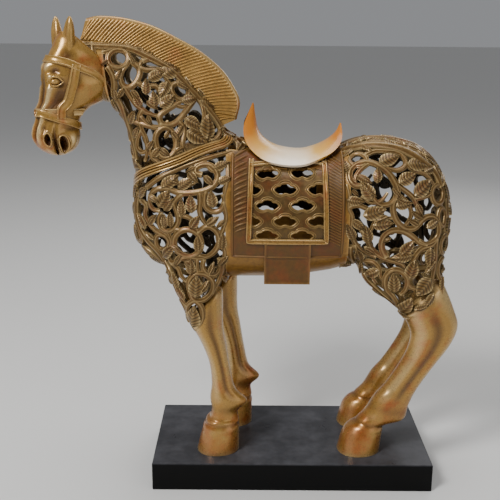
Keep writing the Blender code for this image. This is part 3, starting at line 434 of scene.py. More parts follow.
    def _veins(self, tree: bpy.types.NodeTree, colour: Any, grain: Any) -> tuple[Any, Any]:
        """Engraved veins that slant off a leaf's midrib, about 3 mm apart, with glaze left in them.

        Args:
            tree: the material's tree.
            colour: the colour without veins.
            grain: the node of the fine grain's height.

        Returns:
            The colour and the bump.
        """
        blade = add(tree, "ShaderNodeAttribute", attribute_name="blade")
        part = add(tree, "ShaderNodeSeparateXYZ", {}, {0: blade.outputs["Vector"]})
        side = add(tree, "ShaderNodeMath", {}, {0: part.outputs["Y"]}, operation="ABSOLUTE")
        lean = add(tree, "ShaderNodeMath", {1: -7.5}, {0: side}, operation="MULTIPLY")
        run = add(tree, "ShaderNodeMath", {1: 44.0}, {0: part.outputs["X"], 2: lean}, operation="MULTIPLY_ADD")
        wave = add(tree, "ShaderNodeMath", {}, {0: run}, operation="SINE")
        line = add(tree, "ShaderNodeMapRange", {"From Min": 0.10, "From Max": 0.90}, {"Value": wave})
        cut = add(tree, "ShaderNodeMath", {}, {0: line, 1: part.outputs["Z"]}, operation="MULTIPLY")
        tint = add(tree, "ShaderNodeMath", {1: 0.62}, {0: cut}, operation="MULTIPLY")
        veined = add(tree, "ShaderNodeMix", {7: linear(self.glaze)}, {0: tint, 6: colour}, data_type="RGBA")
        height = add(tree, "ShaderNodeMath", {}, {0: grain, 1: cut}, operation="SUBTRACT")
        bump = add(tree, "ShaderNodeBump", {"Strength": 0.5, "Distance": 0.0007}, {"Height": height})
        return veined.outputs[2], bump


@dataclass(frozen=True)
class AmberHorn:
    """Resin tinted and polished like amber horn: orange at the tips and edges, with a painted ivory highlight in the
    seat, under a clear satin lacquer."""

    name: str = "amber_horn_polish"
    tip: str = "B86E12"
    body: str = "DDAA4A"
    pale: str = "FFEFD6"

    def build(self) -> Finish:
        """Makes the material."""
        made, tree, shader = blank(self.name)
        place = add(tree, "ShaderNodeTexCoord").outputs["Object"]
        # weighted distance from the middle of the seat: painted ivory highlight within 30 mm, full amber from 85 mm
        centred = add(tree, "ShaderNodeMapping", {"Location": (0.008, 0.0, -0.506), "Scale": (0.95, 0.20, 1.25)},
                      {"Vector": place}, vector_type="POINT")
        away = add(tree, "ShaderNodeVectorMath", {}, {0: centred}, operation="LENGTH")
        cloud = add(tree, "ShaderNodeTexNoise", {"Scale": 55.0, "Detail": 3.0}, {"Vector": place})
        ragged = add(tree, "ShaderNodeMath", {1: 0.016}, {0: cloud, 2: away.outputs["Value"]},
                     operation="MULTIPLY_ADD")
        ramp = add(tree, "ShaderNodeMapRange", {"From Min": 0.030, "From Max": 0.085}, {"Value": ragged})
        highlight_fade = add(tree, "ShaderNodeMapRange", {"From Min": 0.0, "From Max": 0.45}, {"Value": ramp})
        outer = add(tree, "ShaderNodeMapRange", {"From Min": 0.45, "From Max": 1.0}, {"Value": ramp})
        first = add(tree, "ShaderNodeMix", {6: linear(self.pale), 7: linear(self.body)},
                    {0: highlight_fade}, data_type="RGBA")
        colour = add(tree, "ShaderNodeMix", {7: linear(self.tip)},
                     {0: outer, 6: first.outputs[2]}, data_type="RGBA")
        dress(tree, shader, {"Base Color": colour.outputs[2]},
              {"Roughness": 0.30, "Coat Weight": 0.35, "Coat Roughness": 0.14})
        return made


@dataclass(frozen=True)
class BlackLacquer:
    """Wood base sprayed with black satin lacquer: near-black, with a soft sheen, and dust with a painted sheen on its
    top.
    """

    name: str = "black_satin_lacquer"
    black: str = "050505"
    dust: str = "505054"

    def build(self) -> Finish:
        """Makes the material."""
        made, tree, shader = blank(self.name)
        coords = add(tree, "ShaderNodeTexCoord")
        place = coords.outputs["Object"]
        cloud = add(tree, "ShaderNodeTexNoise", {"Scale": 26.0, "Detail": 5.0, "Roughness": 0.7}, {"Vector": place})
        # dust and a painted sheen lie only on the top
        up = add(tree, "ShaderNodeSeparateXYZ", {}, {0: coords.outputs["Normal"]})
        dust_and_sheen_cloud = add(tree, "ShaderNodeMapRange", {"From Min": 0.40, "From Max": 0.75, "To Min": 0.45, "To Max": 1.0},
                      {"Value": cloud})
        top_dust_and_sheen = add(tree, "ShaderNodeMath", {}, {0: dust_and_sheen_cloud, 1: up.outputs["Z"]},
                   operation="MULTIPLY", use_clamp=True)
        colour = add(tree, "ShaderNodeMix", {6: linear(self.black), 7: linear(self.dust)},
                     {0: top_dust_and_sheen}, data_type="RGBA")
        rough = add(tree, "ShaderNodeMapRange", {"From Min": 0.3, "From Max": 0.8, "To Min": 0.26, "To Max": 0.46},
                    {"Value": cloud})
        # orange peel of the sprayed coat, about 2 mm
        peel = add(tree, "ShaderNodeTexNoise", {"Scale": 500.0, "Detail": 1.0}, {"Vector": place})
        bump = add(tree, "ShaderNodeBump", {"Strength": 0.05, "Distance": 0.0003}, {"Height": peel})
        dress(tree, shader, {"Base Color": colour.outputs[2], "Roughness": rough, "Normal": bump},
              {"Specular IOR Level": 0.14})
        return made


# ---- Shape helpers


def signed(value: Any, power: float) -> Any:
    """Raises the size of a value to a power and keeps its sign."""
    return np.sign(value) * np.abs(value) ** power


def hump(value: Any, middle: float, reach: float) -> Any:
    """A soft hump of height 1 round a middle."""
    return np.exp(-((value - middle) / reach) ** 2)


def around(sides: int) -> np.ndarray:
    """The angles in radians at which a ring's points lie."""
    return 2 * np.pi * (np.arange(sides) + 0.5) / sides


def spread(half: Any, count: int) -> np.ndarray:
    """Half widths of a path's points, from one number or from a row of them spaced evenly along it."""
    if np.isscalar(half):
        return np.full(count, half, float)
    return np.interp(np.linspace(0, 1, count), np.linspace(0, 1, len(half)), half)


def catmull(points: Rows, count: int, loop: bool = False) -> np.ndarray:
    """A smooth line through stations, spaced evenly by station number.

    Args:
        points: the stations.
        count: how many points to give back.
        loop: whether the line closes on itself.

    Returns:
        The points, one a row.
    """
    pts = np.array(points, float)
    if loop:
        padded = np.vstack([pts[-1], pts, pts[0], pts[1]])
        spots = np.linspace(0, len(pts), count, endpoint=False)
    else:
        padded = np.vstack([2 * pts[0] - pts[1], pts, 2 * pts[-1] - pts[-2]])
        spots = np.linspace(0, len(pts) - 1, count)
    out = []
    for s in spots:
        i = min(int(s), len(padded) - 4)
        t = s - i
        a, b, c, d = padded[i:i + 4]
        out.append(0.5 * (2 * b + (c - a) * t + (2 * a - 5 * b + 4 * c - d) * t * t
                          + (3 * b - a - 3 * c + d) * t ** 3))
    return np.array(out)


def even(points: Rows, count: int) -> np.ndarray:
    """A smooth line resampled to equal steps of length."""
    fine = catmull(points, 300)
    run = np.concatenate([[0], np.cumsum(np.linalg.norm(np.diff(fine, axis=0), axis=1))])
    steps = np.linspace(0, run[-1], count)
    return np.stack([np.interp(steps, run, fine[:, k]) for k in range(fine.shape[1])], axis=1)


def step(value: Any, low: float, high: float) -> Any:
    """A soft step from 0 at low to 1 at high."""
    t = np.clip((value - low) / (high - low), 0, 1)
    return t * t * (3 - 2 * t)


def oval(station: Sequence[float], sides: int, power: float = 2.3, taper: float = 0.0,
         inset: float = 0.0) -> np.ndarray:
    """A superellipse whose long axis joins two places in the side view.

    Args:
        station: first x, z, second x, z, y and half width.
        sides: points round it.
        power: 2 is an ellipse, more is squarer.
        taper: share by which it narrows at the second place.
        inset: how far it shrinks all round.

    Returns:
        The ring's points.
    """
    a, b = np.array(station[:2]), np.array(station[2:4])
    centre, axis = (a + b) / 2, (b - a) / 2
    length = np.linalg.norm(axis)
    angle = around(sides)
    along = signed(np.cos(angle), 2 / power)
    across = signed(np.sin(angle), 2 / power) * (1 - taper * along)
    xz = centre + np.outer(along * (length - inset), axis / length)
    return np.stack([xz[:, 0], station[4] + across * (station[5] - inset), xz[:, 1]], axis=1)


def put(name: str, data: Any) -> Piece:
    """Adds an object to the scene."""
    obj = bpy.data.objects.new(name, data)
    bpy.context.scene.collection.objects.link(obj)
    return obj


class Skin:
    """Vertices and faces gathered before they become a piece."""

    def __init__(self) -> None:
        """Starts with nothing in it."""
        self.verts: list[Any] = []
        self.wash: list[float] = []
        self.faces: list[tuple[int, ...]] = []

    def rings(self, rings: Sequence[Any], loop: bool = False, caps: bool = True) -> "Skin":
        """Adds a skin over rings of equal count.

        Args:
            rings: the sections in order.
            loop: whether the last joins the first.
            caps: whether the ends are closed.

        Returns:
            This skin.
        """
        start, count, sides = len(self.verts), len(rings), len(rings[0])
        for ring in rings:
            self.verts.extend(map(tuple, ring))
        for i in range(count if loop else count - 1):
            here, there = start + i * sides, start + (i + 1) % count * sides
            for k in range(sides):
                m = (k + 1) % sides
                self.faces.append((here + k, here + m, there + m, there + k))
        if caps and not loop:
            for base, ring in ((start, rings[0]), (start + (count - 1) * sides, rings[-1])):
                self.verts.append(tuple(np.mean(np.array(ring), axis=0)))
                pole = len(self.verts) - 1
                self.faces.extend((base + k, base + (k + 1) % sides, pole) for k in range(sides))
        return self

    def sheet(self, grid: np.ndarray, keep: Callable[[int, int], bool] | None = None) -> "Skin":
        """Adds a grid of points as quads, leaving out cells that keep refuses."""
        start, (rows, cols) = len(self.verts), grid.shape[:2]
        self.verts.extend(map(tuple, grid.reshape(-1, 3)))
        for i in range(rows - 1):
            for k in range(cols - 1):
                if keep is None or keep(i, k):
                    a = start + i * cols + k
                    self.faces.append((a, a + 1, a + cols + 1, a + cols))
        return self

    def slab(self, outer: Any, highlight_fade: Any) -> "Skin":
        """Adds a plate between two grids of equal count, with its rim closed.

        Args:
            outer: the points of its outer face, row by row.
            highlight_fade: the points of its inner face.

        Returns:
            This skin.
        """
        start, (rows, cols) = len(self.verts), np.shape(outer)[:2]
        self.sheet(np.array(outer)).sheet(np.array(highlight_fade))
        rim = list(range(cols)) + [i * cols + cols - 1 for i in range(1, rows)]
        rim += [(rows - 1) * cols + k for k in range(cols - 2, -1, -1)] + [i * cols for i in range(rows - 2, 0, -1)]
        behind = start + rows * cols
        self.faces.extend((start + a, start + b, behind + b, behind + a) for a, b in zip(rim, rim[1:] + rim[:1]))
        return self

    def piece(self, name: str, finish: Finish | None = None, crease: float = 45.0,
              closed: bool = True) -> Piece:
        """Writes the skin out as an object.

        Args:
            name: the piece's name.
            finish: its material.
            crease: faces that meet at more than this many degrees keep a sharp edge.
            closed: whether the faces are turned outwards here.

        Returns:
            The object, at the origin.
        """
        mesh = bpy.data.meshes.new(name)
        mesh.from_pydata(self.verts, [], self.faces)
        if self.wash:
            mesh.attributes.new("wash", "FLOAT", "POINT").data.foreach_set("value", self.wash)
        bm = bmesh.new()
        bm.from_mesh(mesh)
        bmesh.ops.remove_doubles(bm, verts=bm.verts, dist=1e-6)
        bmesh.ops.delete(bm, geom=[v for v in bm.verts if not v.link_faces], context="VERTS")
        if closed:
            bmesh.ops.recalc_face_normals(bm, faces=bm.faces)
        bm.to_mesh(mesh)
        bm.free()
        obj = put(name, mesh)
        smooth(obj, crease)
        if finish:
            mesh.materials.append(finish)
        return obj


def smooth(obj: Piece, crease: float = 45.0) -> None:
    """Shades a mesh smooth but for its creases."""
    obj.data.polygons.foreach_set("use_smooth", [True] * len(obj.data.polygons))
    obj.data.set_sharp_from_angle(angle=math.radians(crease))


def freeze(obj: Piece) -> Piece:
    """Applies every modifier to the mesh."""
    graph = bpy.context.evaluated_depsgraph_get()
    mesh = bpy.data.meshes.new_from_object(obj.evaluated_get(graph))
    old = obj.data
    obj.modifiers.clear()
    obj.data = mesh
    mesh.name = obj.name
    bpy.data.meshes.remove(old)
    return obj


def thicken(obj: Piece, depth: float) -> Piece:
    """Gives a sheet a wall on the side away from its normals."""
    wall = obj.modifiers.new("wall", "SOLIDIFY")
    wall.thickness, wall.offset = depth, -1.0
    return freeze(obj)


def unit(vector: np.ndarray) -> np.ndarray:
    """A vector, or each row, brought to length 1."""
    return vector / np.maximum(np.linalg.norm(vector, axis=-1, keepdims=True), 1e-9)


# ---- Geometry Nodes that sweep beads along paths and stand leaves on points


@dataclass
class Bead:
    """One path to be swept: points, outward normals, half widths, and whether it closes."""

    points: np.ndarray
    normals: np.ndarray
    half: np.ndarray
    loop: bool = False


class Profile(Enum):
    """Sections of swept beads as (out, across) in half widths, anticlockwise."""

    VINE = ((-0.95, -0.55), (-0.30, -0.98), (0.18, -0.98), (0.38, -0.84), (0.38, -0.62), (0.66, -0.30),
            (0.76, 0.0), (0.66, 0.30), (0.38, 0.62), (0.38, 0.84), (0.18, 0.98), (-0.30, 0.98), (-0.95, 0.55))
    RIB = ((-0.6, -0.9), (0.25, -0.8), (0.70, -0.42), (0.85, 0.0), (0.70, 0.42), (0.25, 0.8), (-0.6, 0.9))
    STRAP = ((-0.5, -1.0), (0.34, -1.0), (0.46, -0.86), (0.40, -0.66), (0.16, -0.52), (0.44, -0.38), (0.50, -0.18),
             (0.18, 0.0), (0.50, 0.18), (0.44, 0.38), (0.16, 0.52), (0.40, 0.66), (0.46, 0.86), (0.34, 1.0),
             (-0.5, 1.0))
    BAND = ((-0.5, -1.0), (0.26, -1.0), (0.48, -0.88), (0.52, -0.74), (0.40, -0.58), (0.44, 0.0), (0.40, 0.58),
            (0.52, 0.74), (0.48, 0.88), (0.26, 1.0), (-0.5, 1.0))
    RAIL = ((-0.6, -1.0), (0.50, -1.0), (0.80, -0.78), (0.80, -0.52), (0.40, -0.26), (0.34, 0.0), (0.40, 0.26),
            (0.80, 0.52), (0.80, 0.78), (0.50, 1.0), (-0.6, 1.0))


class Foundry:
    """Builds the two node trees once and runs them for every swept or leafed piece."""

    def __init__(self) -> None:
        """Makes the trees and the profile curves."""
        self.hidden = bpy.data.collections.new("profiles")
        self.profiles = {item: self._profile(item) for item in Profile}
        self.sweep_tree = self._sweep_tree()
        self.leaf_tree = self._leaf_tree()

    def _profile(self, item: Profile) -> Piece:
        """A closed outline in the XY plane as a mesh of edges."""
        mesh = bpy.data.meshes.new(f"profile_{item.name.lower()}")
        count = len(item.value)
        mesh.from_pydata([(a, b, 0) for a, b in item.value], [(i, (i + 1) % count) for i in range(count)], [])
        obj = bpy.data.objects.new(mesh.name, mesh)
        self.hidden.objects.link(obj)
        return obj

    def _start_tree(self, name: str, inputs: Sequence[tuple[str, str]]) -> tuple[Any, Any, Any]:
        """A tree with a geometry input and output and further named inputs."""
        tree = bpy.data.node_groups.new(name, "GeometryNodeTree")
        tree.interface.new_socket("Geometry", in_out="INPUT", socket_type="NodeSocketGeometry")
        tree.interface.new_socket("Geometry", in_out="OUTPUT", socket_type="NodeSocketGeometry")
        for label, kind in inputs:
            tree.interface.new_socket(label, in_out="INPUT", socket_type=kind)
        return tree, add(tree, "NodeGroupInput"), add(tree, "NodeGroupOutput")

    def _end_tree(self, tree: Any, into: Any, out: Any, geometry: Any) -> Any:
        """Ends a tree with Realize Instances and Set Material, and gives it back."""
        real = add(tree, "GeometryNodeRealizeInstances", {}, {"Geometry": geometry})
        done = add(tree, "GeometryNodeSetMaterial", {},
                   {"Geometry": real, "Material": into.outputs["Finish"]})
        wire(tree, out, {0: done})
        return tree

    def _sweep_tree(self) -> Any:
        """Paths with 'out' and 'half' attributes to closed beads."""
        tree, into, out = self._start_tree("swept_bead", (
            ("Profile", "NodeSocketObject"), ("Finish", "NodeSocketMaterial"), ("Width", "NodeSocketFloat")))
        curve = add(tree, "GeometryNodeMeshToCurve", {}, {"Mesh": into.outputs["Geometry"]})
        up = add(tree, "GeometryNodeInputNamedAttribute", {"Name": "out"}, data_type="FLOAT_VECTOR")
        turned = add(tree, "GeometryNodeSetCurveNormal", {}, {"Curve": curve, "Normal": up},
                     mode="FREE")
        half = add(tree, "GeometryNodeInputNamedAttribute", {"Name": "half"}, data_type="FLOAT")
        wide = add(tree, "ShaderNodeMath", {}, {0: half, 1: into.outputs["Width"]}, operation="MULTIPLY")
        shape = add(tree, "GeometryNodeObjectInfo", {}, {"Object": into.outputs["Profile"]})
        section = add(tree, "GeometryNodeMeshToCurve", {}, {"Mesh": shape.outputs["Geometry"]})
        swept = add(tree, "GeometryNodeCurveToMesh", {"Fill Caps": True},
                    {"Curve": turned, "Profile Curve": section, "Scale": wide})
        return self._end_tree(tree, into, out, swept)

    def _leaf_tree(self) -> Any:
        """Points with 'out', 'along' and 'size' attributes to leaves."""
        tree, into, out = self._start_tree("leaf_scatter", (
            ("Leaf", "NodeSocketObject"), ("Finish", "NodeSocketMaterial")))
        up, along, size = (
            add(tree, "GeometryNodeInputNamedAttribute", {"Name": label}, data_type="FLOAT_VECTOR")
            for label in ("out", "along", "size"))
        turn = add(tree, "FunctionNodeAxesToRotation", {}, {"Primary Axis": up, "Secondary Axis": along},
                   primary_axis="Z", secondary_axis="X")
        leaf = add(tree, "GeometryNodeObjectInfo", {"As Instance": True}, {"Object": into.outputs["Leaf"]})
        points = add(tree, "GeometryNodeInstanceOnPoints", {},
                     {"Points": into.outputs["Geometry"], "Instance": leaf.outputs["Geometry"],
                      "Rotation": turn, "Scale": size})
        return self._end_tree(tree, into, out, points)

    def _run(self, mesh: bpy.types.Mesh, tree: Any, inputs: dict[str, Any], crease: float) -> Piece:
        """Runs a tree on a mesh and leaves the plain result."""
        obj = put(mesh.name, mesh)
        nodes = obj.modifiers.new(tree.name, "NODES")
        nodes.node_group = tree
        for item in tree.interface.items_tree:
            if item.in_out == "INPUT" and item.name in inputs:
                nodes[item.identifier] = inputs[item.name]
        freeze(obj)
        for name in ("out", "half", "along", "size"):
            if name in obj.data.attributes:
                obj.data.attributes.remove(obj.data.attributes[name])
        smooth(obj, crease)
        return obj

    def sweep(self, name: str, beads: Sequence[Bead], profile: Profile, finish: Finish,
              width: float = 1.0, crease: float = 50.0) -> Piece:
        """Sweeps a profile along paths.

        Args:
            name: the piece's name.
            beads: the paths.
            profile: the section.
            finish: the material.
            width: factor on every half width.
            crease: the crease angle in degrees.

        Returns:
            The swept piece.
        """
        verts, edges, outs, halves = [], [], [], []
        for bead in beads:
            start, count = len(verts), len(bead.points)
            verts.extend(map(tuple, bead.points))
            outs.extend(bead.normals)
            halves.extend(bead.half)
            edges.extend((start + i, start + i + 1) for i in range(count - 1))
            if bead.loop:
                edges.append((start + count - 1, start))
        mesh = bpy.data.meshes.new(name)
        mesh.from_pydata(verts, edges, [])
        outs = np.array(outs, float).ravel()
        mesh.attributes.new("out", "FLOAT_VECTOR", "POINT").data.foreach_set("vector", outs)
        mesh.attributes.new("half", "FLOAT", "POINT").data.foreach_set("value", np.array(halves, float))
        inputs = {"Profile": self.profiles[profile], "Finish": finish, "Width": width}
        return self._run(mesh, self.sweep_tree, inputs, crease)

    def leaves(self, name: str, places: Sequence[tuple[Any, Any, Any, Any]], leaf: Piece,
               finish: Finish) -> Piece:
        """Stands a leaf on every place, given as point, outward normal, direction and size."""
        mesh = bpy.data.meshes.new(name)
        mesh.from_pydata([tuple(p[0]) for p in places], [], [])
        for label, column in (("out", 1), ("along", 2), ("size", 3)):
            data = np.array([p[column] for p in places], float)
            mesh.attributes.new(label, "FLOAT_VECTOR", "POINT").data.foreach_set("vector", data.ravel())
        return self._run(mesh, self.leaf_tree, {"Leaf": leaf, "Finish": finish}, 60.0)


# ---- The surface that everything lies on


@dataclass
class Body:
    """The horse's smooth outer form, kept only to lay vines and straps on."""

    voxel: float = 0.0034
    blend_share: float = 0.6
    blend_rounds: int = 9

    def __post_init__(self) -> None:
        """Joins the trunk, neck and legs and blends where they meet."""
        skin = Skin().rings([oval((x, low, x, high, 0, half), 56, 2.4, 0.06)
                             for x, low, high, half in catmull(TRUNK, 70)])
        skin.rings([oval(s, 48, 2.2, RING_LEAN) for s in catmull(NECK, 50)])
        for side in Side:
            for leg in (Legs.FORE, Legs.HIND):
                skin.rings(leg_rings(leg, side, 60, 40))
        obj = skin.piece("body_form")
        remesh = obj.modifiers.new("join", "REMESH")
        remesh.mode, remesh.voxel_size = "VOXEL", self.voxel
        blend = obj.modifiers.new("blend", "SMOOTH")
        blend.factor, blend.iterations = self.blend_share, self.blend_rounds
        mesh = freeze(obj).data
        self.points = np.array([v.co for v in mesh.vertices])
        self.normals = np.array([v.normal for v in mesh.vertices])
        self.polygons = [tuple(p.vertices) for p in mesh.polygons]
        self.tree = BVHTree.FromPolygons([v.co for v in mesh.vertices], self.polygons)
        bpy.data.objects.remove(obj)

    def lay(self, target: np.ndarray, out: float = 0.0) -> tuple[np.ndarray, np.ndarray]:
        """The nearest place on the skin and its smooth normal.

        Args:
            target: a point near the skin.
            out: how far out of the skin the place is lifted.

        Returns:
            The place and the unit normal.
        """
        where, _, index, _ = self.tree.find_nearest(Vector(target))
        ids = list(self.polygons[index])
        place = np.array(where)
        weight = 1 / (np.linalg.norm(self.points[ids] - place, axis=1) + 1e-4)
        normal = unit((self.normals[ids] * weight[:, None]).sum(axis=0))
        return place + normal * out, normal

    def path(self, targets: Any, out: float, half: Any, loop: bool = False, ease: int = 2) -> Bead:
        """A bead laid on the skin, eased so that facets don't show.

        Args:
            targets: points near the skin.
            out: how far out of the skin the bead is lifted.
            half: its half width, or a row of them.
            loop: whether it closes.
            ease: how many times it is eased.

        Returns:
            The bead.
        """
        line = np.array([np.concatenate(self.lay(np.array(t), out)) for t in targets])
        for _ in range(ease):
            eased = (np.roll(line, 1, 0) + 2 * line + np.roll(line, -1, 0)) / 4
            line = eased if loop else np.vstack([line[:1], eased[1:-1], line[-1:]])
        return Bead(line[:, :3], unit(line[:, 3:]), spread(half, len(line)), loop)

    def hit(self, target: np.ndarray, ray: np.ndarray) -> np.ndarray:
        """Where a ray from outside towards the target meets the skin."""
        start = Vector(target) + Vector(ray) * 0.4
        where, _, _, _ = self.tree.ray_cast(start, -Vector(ray))
        return np.array(where if where is not None else self.tree.find_nearest(Vector(target))[0])


class Legs(Enum):
    """The two pairs of legs: their stations and how far the far one stands back."""

    FORE = (FORE_LEG, FORE_BACK)
    HIND = (HIND_LEG, HIND_BACK)


def leg_stations(leg: Legs, side: Side, rows: Rows | None = None) -> list[tuple[float, ...]]:
    """Stations of one leg, the far one shifted back, as ovals' x, z, x, z, y, half width."""
    table, shift = leg.value
    out = []
    for fx, fz, bx, bz, share, half in (rows if rows is not None else table):
        move = (shift if bz < 0.30 else shift * 0.4) if side is Side.FAR else 0.0
        out.append((fx + move, fz, bx + move, bz, side.value * LEG_Y * share, half))
    return out


def leg_rings(leg: Legs, side: Side, count: int, sides: int, rows: Rows | None = None) -> list[np.ndarray]:
    """Smooth sections of one leg, narrowed at the back of the fetlock."""
    rings = []
    for s in catmull(leg_stations(leg, side, rows), count):
        spur = float(step(s[3], 0.072, 0.082) * (1 - step(s[3], 0.108, 0.120)))
        rings.append(oval(s, sides, 2.15, 0.08 + 0.27 * spur))
    return rings


def girth(x: float) -> tuple[float, float, float]:
    """Bottom, top and half width of the trunk at x."""
    table = np.array(TRUNK)
    low, high, half = (float(np.interp(x, table[:, 0], table[:, k])) for k in (1, 2, 3))
    return low, high, half


def sway(x: Any) -> Any:
    """How far the neck leans to the near side at a place of the crest."""
    return np.interp(x, [s[2] for s in NECK], [s[4] for s in NECK])


def trunk_point(x: float, turn: float, out: float = 0.0) -> np.ndarray:
    """A point of the trunk: turn -90 is the belly, 0 the near side, 90 the back, 180 the far side, in degrees."""
    low, high, half = girth(x)
    a = math.radians(turn)
    along, across = signed(math.sin(a), 1 / 1.2), signed(math.cos(a), 1 / 1.2)
    across *= 1 - 0.06 * along
    return np.array((x, -across * (half + out), (low + high) / 2 + along * ((high - low) / 2 + out)))


def side_turn(x: float, z: float) -> float:
    """The turn in degrees at which the near side of the trunk reaches a height."""
    low, high, _ = girth(x)
    along = np.clip((z - (low + high) / 2) / ((high - low) / 2), -0.999, 0.999)
    return math.degrees(math.asin(float(signed(along, 1.2))))


def flank(x: float, z: float, out: float, side: Side) -> np.ndarray:
    """A point on the trunk's side at a place in the side view."""
    place = trunk_point(x, side_turn(x, z))
    here, above = trunk_point(x, side_turn(x, z - 0.004)), trunk_point(x, side_turn(x, z + 0.004))
    lean = (above[1] - here[1]) / max(above[2] - here[2], 1e-5)
    normal = unit(np.array((0.0, -1.0, lean)))
    place = place + normal * out
    return place * np.array((1.0, -side.value, 1.0))


def flank_bead(xz: Any, out: float, half: Any, side: Side, loop: bool = False) -> Bead:
    """A bead along places of the side view, laid on the trunk's side."""
    xz = list(xz)
    points = np.array([flank(x, z, out, side) for x, z in xz])
    normals = unit(np.array([flank(x, z, out + 0.01, side) for x, z in xz]) - points)
    return Bead(points, normals, spread(half, len(points)), loop)


def strap_height(x: float, y: float) -> float:
    """Height of the breast strap's middle at a place on the skin."""
    azimuth = -abs(math.degrees(math.atan2(-abs(y), x - STRAP_AXIS_X)))
    table = np.array(STRAP)[::-1]
    return float(np.interp(azimuth, table[:, 0], table[:, 1]))


# ---- Sub-assemblies


@dataclass
class Scroll:
    """One ring of vine: centre, normal, radius, where it starts and which way it runs."""

    centre: np.ndarray
    normal: np.ndarray
    radius: float
    start: float = 0.0
    sense: int = 1


